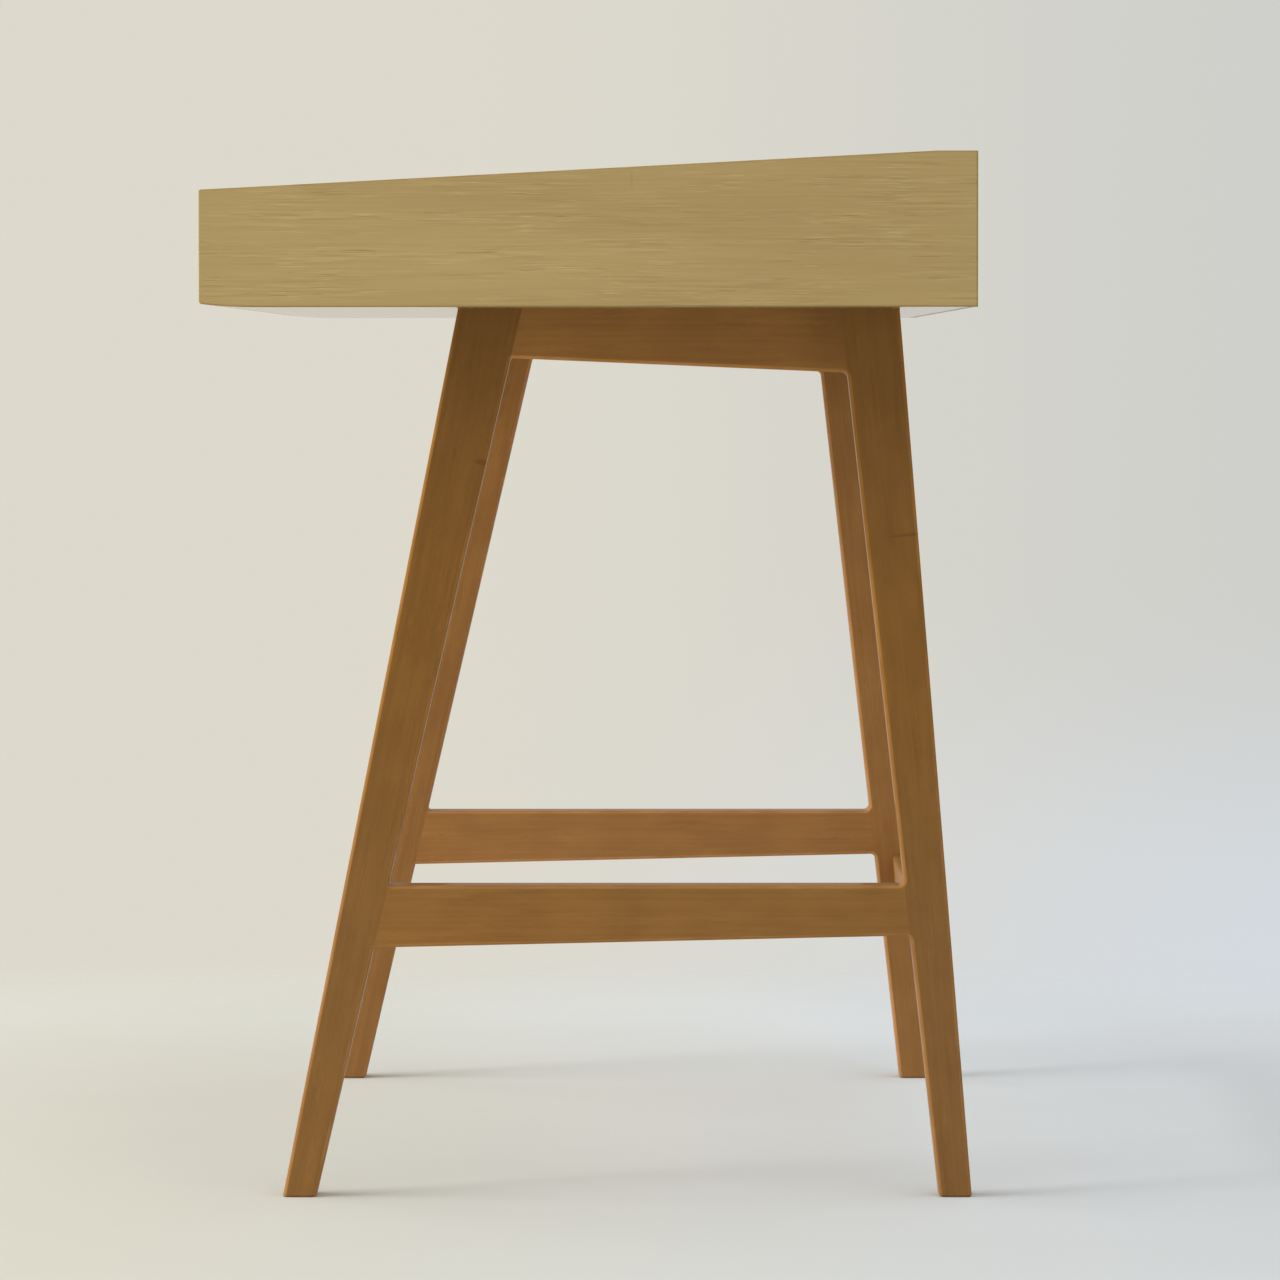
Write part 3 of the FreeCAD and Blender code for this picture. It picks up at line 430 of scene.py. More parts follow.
class BoardPainter:
    """Lays out the look of one board on the sheet of its material."""

    def __init__(self, wood: WoodFinish, board: Board) -> None:
        """Start the material, with places turned so that the grain runs along X.

        Args:
            wood: The wood with its coat.
            board: How the board was cut.
        """
        self.wood, self.board = wood, board
        self.material, self.sheet, self.shader = new_material(f"{wood.name}_{board.name}")
        coordinates = self.sheet.add("ShaderNodeTexCoord").outputs
        inputs = {"Vector": coordinates["Object"], "Rotation": board.turn.to_euler()}
        self.place = self.sheet.add("ShaderNodeMapping", inputs, vector_type="POINT").outputs["Vector"]
        self.facing = self.sheet.parts(coordinates["Normal"])
        self.figure = wood.figure.lay_out(self.sheet, self.place, board.heart)

    def mark(self, mark: Mark) -> Socket:
        """Give the darkness of one small mark at each point.

        Args:
            mark: The mark.

        Returns:
            The socket with the darkness, below zero where the mark is pale.
        """
        middle = tuple(self.board.turn @ Vector(mark.place))
        away = self.sheet.vector("DIVIDE", self.sheet.vector("SUBTRACT", self.place, middle), mark.reach)
        return self.sheet.ease(self.sheet.vector("LENGTH", away), (mark.core, 1.0), (mark.darkness, 0.0))

    def coloured(self) -> Socket:
        """Colour the figure, the marks and the change along the grain, which is partly painted light and
        shade.

        Returns:
            The colour of the board away from its edges.
        """
        sheet, wood, board, figure = self.sheet, self.wood, self.board, self.figure
        streak = sheet.ease(figure["streaks"], NOISE_SPAN, (-wood.streak_strength, wood.streak_strength))
        depth = sheet.chain(
            "ADD",
            sheet.calc("MULTIPLY", figure["late"], wood.ring_strength),
            sheet.calc("MULTIPLY", streak, figure["patches"]),
            sheet.ease(figure["tone"], NOISE_SPAN, (-wood.tone_strength, wood.tone_strength)),
            0.5 - wood.ring_strength / 2,
        )
        if board.marks:
            darkness: object = 0.0
            for mark in board.marks:
                darkness = sheet.calc("ADD", self.mark(mark), darkness)
            depth = sheet.calc("ADD", depth, darkness)
        depth = sheet.calc("MINIMUM", sheet.calc("MAXIMUM", depth, 0.0), 1.0)
        colour = sheet.blend(depth, wood.pale, wood.deep)
        for layer, strength, layer_colour in (
            ("dashes", wood.dash_strength, wood.dash),
            ("pores", wood.pore_strength, wood.pore),
        ):
            colour = sheet.blend(sheet.calc("MULTIPLY", figure[layer], strength), colour, layer_colour)
        # The shade and drift along the grain are partly painted light and shade.
        along = sheet.parts(self.place)["X"]
        colour = sheet.scaled(colour, sheet.ease(along, board.span, board.shade))
        if board.drift:
            tint = sheet.blend(sheet.ease(along, board.drift.span), board.drift.start, board.drift.end)
            colour = sheet.blend(1.0, colour, tint, "MULTIPLY")
        return colour

    def edges(self) -> Socket:
        """Find the arrises, where the finish is thin.

        The rounding at the ends of the desk always counts. With an edge reach, so does
        what lies that near to any edge, a flush joint too.

        Returns:
            The share from 0 on the faces to 1 on the arrises.
        """
        sheet, wood = self.sheet, self.wood
        endwise = sheet.calc("ABSOLUTE", self.facing["X"])
        rise, fall = sheet.ease(endwise, wood.round_rise), sheet.ease(endwise, wood.round_fall)
        rounded = sheet.calc("MULTIPLY", rise, fall)
        if not wood.edge_reach:
            return rounded
        inner = sheet.add("ShaderNodeAmbientOcclusion", {"Distance": wood.edge_reach},
                          inside=True, only_local=True, samples=wood.edge_samples)
        return sheet.calc("MAXIMUM", rounded, sheet.ease(inner.outputs["AO"], wood.edge_open))

    def painted(self) -> Material:
        """Join the colour, the coat, the pores and the uneven tint of the arrises: wear, and where a wood
        sets it so, a painted highlight or painted shade.

        Returns:
            The finished material.
        """
        sheet, wood, figure = self.sheet, self.wood, self.figure
        edge = self.edges()
        gain = sheet.chain("MULTIPLY", edge, wood.wear.over(sheet, self.place), wood.edge_gain)
        kept = sheet.calc("MULTIPLY_ADD", edge, -wood.edge_loss, 1.0)
        coat = sheet.calc("MULTIPLY", kept, wood.coat_weight)
        if wood.upper_coat < 1.0:
            upper = sheet.ease(self.facing["Z"], wood.upper_span, (1.0, wood.upper_coat))
            coat = sheet.calc("MULTIPLY", coat, upper)
        rough = sheet.calc("MULTIPLY_ADD", figure["pores"], wood.pore_roughness, wood.roughness)
        ridge = sheet.calc("MULTIPLY", figure["late"], wood.ring_height)
        height = sheet.calc("MULTIPLY_ADD", figure["pores"], -1.0, ridge)
        sheet.feed(self.shader, {
            # The arris tint is wear, and where the wood sets it strong, a painted highlight or painted shade.
            "Base Color": sheet.tinted(gain, self.coloured(), wood.edge_light),
            "Roughness": sheet.calc("MULTIPLY_ADD", figure["streaks"], wood.streak_roughness, rough),
            "Normal": sheet.bump(wood.bump_strength, wood.bump_depth, height),
            "IOR": wood.refraction,
            "Specular IOR Level": sheet.calc("MULTIPLY", kept, wood.shine),
            "Specular Tint": wood.shine_tint,
            "Coat Weight": coat,
            "Coat Roughness": wood.coat_roughness,
        })
        return self.material


# Metal and the pads


@dataclass(frozen=True)
class MetalFinish:
    """A drawn or turned metal with fine lines along one axis and some tarnish."""

    name: str
    bright: Colour
    dull: Colour
    roughness: float
    line_counts: Triple = (400.0, 6000.0, 6000.0)
    line_roughness: float = 0.1
    line_strength: float = 0.25
    line_depth: float = 0.02 * MILLIMETRE
    tarnish: Cloud = Cloud((90.0, 90.0, 90.0), 4.0, (0.4, 0.72))
    tarnish_roughness: float = 0.14
    soft_edge: float = 0.25 * MILLIMETRE
    edge_samples: int = 4

    def material(self) -> Material:
        """Make the material.

        Returns:
            The finished material.
        """
        material, sheet, shader = new_material(self.name)
        place = sheet.add("ShaderNodeTexCoord").outputs["Object"]
        lines = sheet.noise(place, self.line_counts)
        tarnish = self.tarnish.over(sheet, place)
        rough = sheet.calc("MULTIPLY_ADD", lines, self.line_roughness, self.roughness)
        bevel = sheet.add("ShaderNodeBevel", {"Radius": self.soft_edge}, samples=self.edge_samples)
        sheet.feed(shader, {
            "Base Color": sheet.blend(tarnish, self.bright, self.dull),
            "Roughness": sheet.calc("MULTIPLY_ADD", tarnish, self.tarnish_roughness, rough),
            "Metallic": 1.0,
            "Normal": sheet.bump(self.line_strength, self.line_depth, lines, Normal=bevel.outputs["Normal"]),
        })
        return material


@dataclass(frozen=True)
class PadFinish:
    """Matt moulded rubber with a fine skin."""

    name: str
    colour: Colour
    dusty: Colour
    roughness: float
    skin_counts: Triple = (3500.0, 3500.0, 3500.0)
    skin_detail: float = 3.0
    skin_roughness: float = 0.15
    skin_strength: float = 0.4
    skin_depth: float = 0.04 * MILLIMETRE
    dust: Cloud = Cloud((300.0, 300.0, 300.0), 3.0, (0.4, 0.7))

    def material(self) -> Material:
        """Make the material.

        Returns:
            The finished material.
        """
        material, sheet, shader = new_material(self.name)
        place = sheet.add("ShaderNodeTexCoord").outputs["Object"]
        skin = sheet.noise(place, self.skin_counts, self.skin_detail)
        sheet.feed(shader, {
            "Base Color": sheet.blend(self.dust.over(sheet, place), self.colour, self.dusty),
            "Roughness": sheet.calc("MULTIPLY_ADD", skin, self.skin_roughness, self.roughness),
            "Normal": sheet.bump(self.skin_strength, self.skin_depth, skin),
        })
        return material


OAK = WoodFinish(
    name="oak",
    pale=tone(184, 157, 100),
    deep=tone(163, 136, 81),
    pore=tone(120, 92, 48),
    dash=tone(206, 184, 131),
    figure=Figure(
        ring_pitch=3.4 * MILLIMETRE,
        ring_drift=16 * MILLIMETRE,
        ring_waver=1.6 * MILLIMETRE,
        pore_counts=(34.0, 1250.0, 1250.0),
        pore_share=0.42,
        patch_counts=(12.0, 80.0, 80.0),
        streak_counts=(14.0, 560.0, 560.0),
        tone_counts=(2.4, 18.0, 18.0),
    ),
    ring_strength=0.13,
    streak_strength=0.36,
    tone_strength=0.2,
    pore_strength=0.5,
    dash_strength=0.38,
    roughness=0.44,
    coat_weight=0.5,
    coat_roughness=0.22,
    shine=0.35,
    edge_reach=2.0 * MILLIMETRE,
    # Darkened arrises: painted shade that keeps the oak's rounded edges from showing a highlight.
    edge_gain=0.6,
    edge_light=(0.72, 0.72, 0.7, 1.0),
)

SEALED_OAK = replace(OAK, name="sealed_oak", coat_weight=1.0, coat_roughness=0.1, upper_coat=0.2)

GOLDEN = WoodFinish(
    name="golden",
    pale=tone(149, 105, 51),
    deep=tone(121, 81, 36),
    pore=tone(85, 54, 25),
    dash=tone(172, 126, 69),
    figure=Figure(
        ring_pitch=5.5 * MILLIMETRE,
        ring_drift=18 * MILLIMETRE,
        ring_waver=2.0 * MILLIMETRE,
        pore_counts=(110.0, 1500.0, 1500.0),
        pore_share=0.4,
        patch_counts=(16.0, 90.0, 90.0),
        streak_counts=(16.0, 260.0, 260.0),
        tone_counts=(20.0, 44.0, 44.0),
    ),
    ring_strength=0.11,
    streak_strength=0.14,
    tone_strength=0.12,
    pore_strength=0.26,
    dash_strength=0.14,
    roughness=0.46,
    coat_weight=0.17,
    coat_roughness=0.1,
    shine=0.18,
    shine_tint=(1.0, 0.86, 0.66, 1.0),
    edge_reach=0.0,
    # Pale, cool arrises: a painted highlight where the rounded edges catch the light.
    edge_gain=0.8,
    edge_light=(1.68, 1.76, 2.45, 1.0),
    edge_loss=0.82,
)

# The far frame is of slightly pinker, bluer wood, partly its own colour and partly painted light for the
# brighter light that falls on it.
PINK_GOLDEN = replace(GOLDEN, name="pink_golden", pale=tone(150, 106, 57), deep=tone(122, 82, 42))

BEECH = WoodFinish(
    name="beech",
    pale=tone(214, 182, 136),
    deep=tone(188, 148, 100),
    pore=tone(150, 108, 68),
    dash=tone(228, 200, 158),
    figure=Figure(
        ring_pitch=2.2 * MILLIMETRE,
        ring_drift=8 * MILLIMETRE,
        ring_waver=0.8 * MILLIMETRE,
        pore_counts=(300.0, 2400.0, 2400.0),
        pore_share=0.36,
        patch_counts=(30.0, 150.0, 150.0),
        streak_counts=(10.0, 300.0, 300.0),
        tone_counts=(4.0, 40.0, 40.0),
    ),
    ring_strength=0.3,
    streak_strength=0.2,
    tone_strength=0.15,
    pore_strength=0.35,
    dash_strength=0.2,
    roughness=0.6,
    coat_weight=0.0,
    coat_roughness=0.3,
    edge_reach=0.8 * MILLIMETRE,
)

BRASS = MetalFinish("brass", bright=tone(214, 178, 104), dull=tone(176, 136, 74), roughness=0.24)
STEEL = MetalFinish("steel", bright=tone(196, 197, 200), dull=tone(158, 160, 164), roughness=0.3)
RUBBER = PadFinish("rubber", colour=tone(58, 52, 46), dusty=tone(78, 72, 64), roughness=0.7)


# Reading the frame

# Corners nearer than this are one, and solids are ordered by places rounded to so many digits.
WELD_DISTANCE = 0.01 * MILLIMETRE
PLACE_DIGITS = 4
# A face looks up when its normal rises more than this, and a leg's end is this share of it.
UPPER_RISE = 0.5
END_SHARE = 0.03


@dataclass(frozen=True)
class Seat:
    """Where one small part sits: its outer end, the way it points, its radius and length."""

    start: Vector
    aim: Vector
    radius: float
    length: float


def solids_of(node: str) -> list[np.ndarray]:
    """Part a node's mesh into its separate solids.

    Args:
        node: Name of the node.

    Returns:
        The corners of each solid, ordered by where the solids lie.
    """
    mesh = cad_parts[node].data
    corners = np.array([vertex.co for vertex in mesh.vertices], float)
    keys = [tuple(key) for key in np.round(corners / WELD_DISTANCE).astype(int)]
    first_of: dict[tuple, int] = {}
    group = [first_of.setdefault(key, index) for index, key in enumerate(keys)]

    def root(index: int) -> int:
        """Follow a corner to the one that stands for its solid.

        Args:
            index: Number of the corner.

        Returns:
            The number of the corner that stands for the solid.
        """
        while group[index] != index:
            group[index] = group[group[index]]
            index = group[index]
        return index

    for edge in mesh.edges:
        first, second = (root(index) for index in edge.vertices)
        group[max(first, second)] = min(first, second)
    roots = np.array([root(index) for index in range(len(group))])
    solids = [corners[roots == index] for index in sorted(set(roots))]
    return sorted(solids, key=lambda points: tuple(points.mean(axis=0).round(PLACE_DIGITS)))


def seats_of(node: str, aim: Vector) -> list[Seat]:
    """Find where each small part of a node sits.

    Args:
        node: Name of a node that holds round parts alike.
        aim: The way that they point.

    Returns:
        One seat for each part.
    """
    aim = aim.normalized()
    side = aim.orthogonal().normalized()
    other = aim.cross(side)
    seats = []
    for points in solids_of(node):
        along, first, second = (points @ np.array(axis) for axis in (aim, side, other))
        middle = side * ((first.min() + first.max()) / 2) + other * ((second.min() + second.max()) / 2)
        radius = (first.max() - first.min()) / 2
        seats.append(Seat(middle + aim * along.min(), aim, radius, along.max() - along.min()))
    return seats


def upper_normal(node: str) -> Vector:
    """Direction square to a board's largest upper face."""
    faces = [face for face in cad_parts[node].data.polygons if face.normal.z > UPPER_RISE]
    return max(faces, key=lambda face: face.area).normal.copy()


def long_direction(node: str) -> Triple:
    """Find the direction along a leg, from the middle of its foot to the middle of its top.

    Args:
        node: Name of the leg's node.

    Returns:
        The direction, of length 1.
    """
    points = np.array([vertex.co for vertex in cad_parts[node].data.vertices], float)
    height = points[:, 2]
    reach = (height.max() - height.min()) * END_SHARE
    ends = points[height < height.min() + reach], points[height > height.max() - reach]
    foot, top = ((end.min(axis=0) + end.max(axis=0)) / 2 for end in ends)
    return tuple(Vector(top - foot).normalized())


def dress(node: str, material: Material) -> None:
    """Give a node of the frame its material.

    Args:
        node: Name of the node.
        material: The material.
    """
    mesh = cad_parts[node].data
    if not mesh.materials:
        mesh.materials.append(material)
    for index in range(len(mesh.materials)):
        mesh.materials[index] = material


def add_object(name: str, data: bpy.types.ID) -> bpy.types.Object:
    """Put an object with this data in the scene.

    Args:
        name: Name of the object.
        data: Its mesh, lamp or camera.

    Returns:
        The object.
    """
    thing = bpy.data.objects.new(name, data)
    bpy.context.scene.collection.objects.link(thing)
    return thing


def add_mesh(name: str, points: list[Triple], faces: tuple[tuple[int, ...], ...] = ()) -> bpy.types.Object:
    """Put an object with a new mesh in the scene.

    Args:
        name: Name of the object and its mesh.
        points: Its corners.
        faces: Its faces, by the numbers of their corners.

    Returns:
        The object.
    """
    mesh = bpy.data.meshes.new(name)
    mesh.from_pydata(points, [], list(faces))
    return add_object(name, mesh)


# Small turned parts


@dataclass(frozen=True)
class Cuts:
    """What is cut into a turned part. Its thread runs between two depths below its outer end."""

    thread_start: float = 0.0
    thread_end: float = 0.0
    thread_pitch: float = 1.0
    thread_depth: float = 0.0
    flute_count: float = 0.0
    flute_share: float = 0.0
    drive_width: float = 0.0
    drive_depth: float = 0.0


@dataclass(frozen=True)
class Turning:
    """A part turned on a lathe, with what is cut into it afterwards.

    The outline runs from one end of the axis to the other, each point given as its
    radius and its depth below the part's outer end.
    """

    outline: tuple[Span, ...]
    segments: int
    cuts: Cuts = Cuts()
    drive: Drive = Drive.NONE


def shank_rows(radius: float, top: float, end: float, row_height: float) -> list[Span]:
    """Give points down a shank from top to end, near enough to each other to carry a thread."""
    steps = int((end - top) / row_height)
    return [(radius, top + (end - top) * step / steps) for step in range(steps + 1)]


@dataclass(frozen=True)
class WoodScrew:
    """A slotted countersunk wood screw, in shares of its head's and its shank's radius."""

    shank_radius: float
    slot_width: float = 0.8 * MILLIMETRE
    slot_depth: float = 0.8 * MILLIMETRE
    lip_share: float = 0.06
    plain_share: float = 0.3
    tip_share: float = 2.0
    point_share: float = 0.25
    pitch_share: float = 0.85
    thread_share: float = 0.24
    rows_a_turn: int = 5
    segments: int = 24

    def turning(self, seat: Seat) -> Turning:
        """Fit the screw to its seat.

        Args:
            seat: Where it sits, which gives its head's radius and its length.

        Returns:
            The turned screw.
        """
        head, shank, length = seat.radius, self.shank_radius, seat.length
        lip, neck, tip = head * self.lip_share, head - shank, length - shank * self.tip_share
        pitch = shank * self.pitch_share
        rows = shank_rows(shank, neck, tip, pitch / self.rows_a_turn)
        start = neck + (length - neck) * self.plain_share
        return Turning(
            ((0.0, 0.0), (head - lip, 0.0), (head, lip), *rows,
             (shank * self.point_share, length), (0.0, length)),
            self.segments,
            Cuts(start, tip + shank, pitch, shank * self.thread_share,
                 drive_width=self.slot_width, drive_depth=self.slot_depth),
            Drive.SLOT,
        )


@dataclass(frozen=True)
class MachineBolt:
    """A socket head bolt, with its head outermost."""

    shank_radius: float
    head_height: float
    chamfer_share: float = 0.1
    pitch_share: float = 1 / 3
    plain_share: float = 0.4
    thread_share: float = 0.5
    socket_share: float = 0.5
    rows_a_turn: int = 4
    segments: int = 30

    def turning(self, seat: Seat) -> Turning:
        """Fit the bolt to its seat.

        Args:
            seat: Where it sits, which gives its head's radius and its length.

        Returns:
            The turned bolt.
        """
        head, shank, low, length = seat.radius, self.shank_radius, self.head_height, seat.length
        chamfer = head * self.chamfer_share
        small = chamfer / 3
        pitch, end = shank * self.pitch_share, length - chamfer
        rows = shank_rows(shank, low, end, pitch / self.rows_a_turn)
        return Turning(
            ((0.0, 0.0), (head - chamfer, 0.0), (head, chamfer), (head, low - small), (head - small, low),
             *rows, (shank - chamfer, length), (0.0, length)),
            self.segments,
            Cuts(low + (end - low) * self.plain_share, length, pitch, pitch * self.thread_share,
                 drive_width=head, drive_depth=low * self.socket_share),
            Drive.HEXAGON,
        )


@dataclass(frozen=True)
class Dowel:
    """A dowel with chamfered ends and pressed flutes."""

    chamfer_share: float = 1 / 6
    segments: int = 72
    flute_count: float = 18.0
    flute_share: float = 0.07

    def turning(self, seat: Seat) -> Turning:
        """Fit the dowel to its seat.

        Args:
            seat: Where it sits, which gives its radius and length.

        Returns:
            The turned dowel.
        """
        radius, length = seat.radius, seat.length
        chamfer = radius * self.chamfer_share
        outline = ((0.0, 0.0), (radius - chamfer, 0.0), (radius, chamfer), (radius, length - chamfer),
                   (radius - chamfer, length), (0.0, length))
        flutes = Cuts(flute_count=self.flute_count, flute_share=self.flute_share)
        return Turning(outline, self.segments, flutes)


@dataclass(frozen=True)
class Washer:
    """A washer with eased edges, closed round its bore."""

    bore_radius: float
    ease_share: float = 0.2
    segments: int = 36

    def turning(self, seat: Seat) -> Turning:
        """Fit the washer to its seat.

        Args:
            seat: Where it sits, which gives its radius and thickness.

        Returns:
            The turned washer.
        """
        bore, outer, low = self.bore_radius, seat.radius, seat.length
        ease = low * self.ease_share
        outline = ((bore, ease), (bore + ease, 0.0), (outer - ease, 0.0), (outer, ease),
                   (outer, low - ease), (outer - ease, low), (bore + ease, low),
                   (bore, low - ease), (bore, ease))
        return Turning(outline, self.segments)


@dataclass(frozen=True)
class Pad:
    """A moulded pad with a soft crown, its foot outermost."""

    crown_share: float = 0.3
    steps: int = 6
    segments: int = 32

    def turning(self, seat: Seat) -> Turning:
        """Fit the pad to its seat.

        Args:
            seat: Where it sits, which gives its radius and height.

        Returns:
            The moulded pad.
        """
        crown = seat.radius * self.crown_share
        inner, low = seat.radius - crown, seat.length - crown
        turns = [math.pi / 2 * step / self.steps for step in range(self.steps + 1)]
        rim = [(inner + crown * math.cos(turn), low + crown * math.sin(turn)) for turn in turns]
        return Turning(((0.0, 0.0), (seat.radius, 0.0), *rim, (0.0, seat.length)), self.segments)


class Lathe:
    """Makes turned parts at their seats with a tree of geometry nodes."""

    WELD = 0.002 * MILLIMETRE
    CHANCE_SEED = 7
    CUTTER_LENGTH = 20.0
    CUTTER_HEIGHT = 2.0
    SHARP_ANGLE = math.radians(32)

    def __init__(self, drive: Drive) -> None:
        """Build the tree for parts with one kind of drive.

        Args:
            drive: What is cut into the head.
        """
        self.drive = drive
        self.tree = bpy.data.node_groups.new(f"turned_parts_{drive.value}", "GeometryNodeTree")
        self.sheet = NodeSheet(self.tree)
        self.keys: dict[str, str] = {}
        self.tree.interface.new_socket(name="Geometry", in_out="OUTPUT", socket_type="NodeSocketGeometry")
        self.take("Geometry", "seats")
        self.take("Object", "profile")
        self.take("Int", "segments")
        self.take("Float", *(cut.name for cut in fields(Cuts)))
        self.take("Material", "finish")
        self.given = self.sheet.add("NodeGroupInput").outputs
        self.build()

    def take(self, kind: str, *names: str) -> None:
        """Add inputs to the tree and keep their identifiers.

        Args:
            kind: What the inputs take.
            names: Their names.
        """
        for name in names:
            socket_type = "NodeSocket" + kind
            socket = self.tree.interface.new_socket(name=name, in_out="INPUT", socket_type=socket_type)
            self.keys[name] = socket.identifier

    def blank(self) -> Socket:
        """Turn the profile into a closed skin.

        Returns:
            The socket with the skin's mesh.
        """
        sheet, given = self.sheet, self.given
        inputs = {"Object": given["profile"]}
        profile = sheet.add("GeometryNodeObjectInfo", inputs, transform_space="ORIGINAL")
        points = profile.outputs["Geometry"]
        count = sheet.add("GeometryNodeAttributeDomainSize", {"Geometry": points}, component="MESH")
        rows = count.outputs["Point Count"]
        grid = sheet.add("GeometryNodeMeshGrid", {
            "Size X": 1.0,
            "Size Y": 1.0,
            "Vertices X": sheet.calc("ADD", given["segments"], 1.0),
            "Vertices Y": rows,
        })
        position = sheet.add("GeometryNodeInputPosition").outputs[0]
        place = sheet.parts(position)
        turn = sheet.calc("MULTIPLY", sheet.calc("ADD", place["X"], 0.5), math.tau)
        last = sheet.calc("SUBTRACT", rows, 1.0)
        row = sheet.calc("ROUND", sheet.calc("MULTIPLY", sheet.calc("ADD", place["Y"], 0.5), last))
        inputs = {"Geometry": points, "Value": position, "Index": row}
        sample = sheet.add("GeometryNodeSampleIndex", data_type="FLOAT_VECTOR", domain="POINT")
        sheet.feed(sample, inputs)
        point = sheet.parts(sample.outputs["Value"])
        radius = self.fluted(self.threaded(point["X"], point["Z"], turn), turn)
        moved = sheet.add("GeometryNodeSetPosition", {
            "Geometry": grid.outputs["Mesh"],
            "Position": sheet.joined(
                X=sheet.calc("MULTIPLY", radius, sheet.calc("COSINE", turn)),
                Y=sheet.calc("MULTIPLY", radius, sheet.calc("SINE", turn)),
                Z=point["Z"],
            ),
        })
        inputs = {"Geometry": moved.outputs["Geometry"], "Distance": self.WELD}
        return sheet.add("GeometryNodeMergeByDistance", inputs).outputs["Geometry"]

    def threaded(self, radius: Socket, depth: Socket, turn: Socket) -> Socket:
        """Cut the thread into the radius.

        Args:
            radius: Radius before the cut.
            depth: Depth below the outer end.
            turn: Angle round the axis.

        Returns:
            The radius after the cut.
        """
        sheet, given = self.sheet, self.given
        lead = sheet.calc("DIVIDE", depth, given["thread_pitch"])
        phase = sheet.calc("FRACT", sheet.calc("SUBTRACT", lead, sheet.calc("DIVIDE", turn, math.tau)))
        ridge = sheet.calc("ABSOLUTE", sheet.calc("MULTIPLY_ADD", phase, 2.0, -1.0))
        after = sheet.calc("GREATER_THAN", depth, given["thread_start"])
        before = sheet.calc("LESS_THAN", depth, given["thread_end"])
        cut = sheet.chain("MULTIPLY", after, before, given["thread_depth"])
        valley = sheet.calc("MULTIPLY", sheet.calc("SUBTRACT", 1.0, ridge), cut)
        return sheet.calc("MAXIMUM", sheet.calc("SUBTRACT", radius, valley), 0.0)

    def fluted(self, radius: Socket, turn: Socket) -> Socket:
        """Press the flutes into the radius.

        Args:
            radius: Radius before the flutes.
            turn: Angle round the axis.

        Returns:
            The radius after the flutes.
        """
        sheet, given = self.sheet, self.given
        wave = sheet.calc("COSINE", sheet.calc("MULTIPLY", turn, given["flute_count"]))
        hollow = sheet.calc("MULTIPLY_ADD", wave, -0.5, 0.5)
        kept = sheet.calc("SUBTRACT", 1.0, sheet.calc("MULTIPLY", hollow, given["flute_share"]))
        return sheet.calc("MULTIPLY", radius, kept)

    def driven(self, blank: Socket) -> Socket:
        """Cut the slot or the hexagon into the head.

        Args:
            blank: Mesh of the turned part.

        Returns:
            The mesh with its drive.
        """
        if self.drive is Drive.NONE:
            return blank
        sheet, width = self.sheet, self.given["drive_width"]
        height = sheet.calc("MULTIPLY", self.given["drive_depth"], self.CUTTER_HEIGHT)
        if self.drive is Drive.SLOT:
            length = sheet.calc("MULTIPLY", width, self.CUTTER_LENGTH)
            cutter = sheet.add("GeometryNodeMeshCube", {"Size": sheet.joined(X=length, Y=width, Z=height)})
        else:
            radius = sheet.calc("DIVIDE", width, math.sqrt(3))
            cutter = sheet.add("GeometryNodeMeshCylinder", {"Vertices": 6, "Radius": radius, "Depth": height})
        inputs = {"Mesh 1": blank, "Mesh 2": cutter.outputs["Mesh"]}
        cut = sheet.add("GeometryNodeMeshBoolean", operation="DIFFERENCE", solver="EXACT")
        sheet.feed(cut, inputs)
        return cut.outputs["Mesh"]

    def build(self) -> None:
        """Set the parts at their seats, each turned by its own chance angle."""
        sheet, given = self.sheet, self.given
        part = self.driven(self.blank())
        aim = sheet.add("GeometryNodeInputNamedAttribute", {"Name": "aim"}, data_type="FLOAT_VECTOR")
        inputs = {"Vector": aim.outputs["Attribute"]}
        align = sheet.add("FunctionNodeAlignRotationToVector", inputs, axis="Z")
        seated = sheet.add("GeometryNodeInstanceOnPoints", {
            "Points": given["seats"],
            "Instance": part,
            "Rotation": align.outputs["Rotation"],
        })
        chance = sheet.add("FunctionNodeRandomValue", {"Seed": self.CHANCE_SEED}, data_type="FLOAT")
        limits = [socket for socket in chance.inputs if socket.enabled and socket.type == "VALUE"]
        limits[0].default_value, limits[1].default_value = 0.0, math.tau
        angle = next(socket for socket in chance.outputs if socket.enabled)
        spun = sheet.add("GeometryNodeRotateInstances", {
            "Instances": seated.outputs["Instances"],
            "Rotation": sheet.joined(Z=angle),
            "Local Space": True,
        })
        real = sheet.add("GeometryNodeRealizeInstances", {"Geometry": spun.outputs["Instances"]})
        inputs = {"Geometry": real.outputs["Geometry"], "Material": given["finish"]}
        finished = sheet.add("GeometryNodeSetMaterial", inputs)
        sheet.add("NodeGroupOutput", {"Geometry": finished.outputs["Geometry"]})

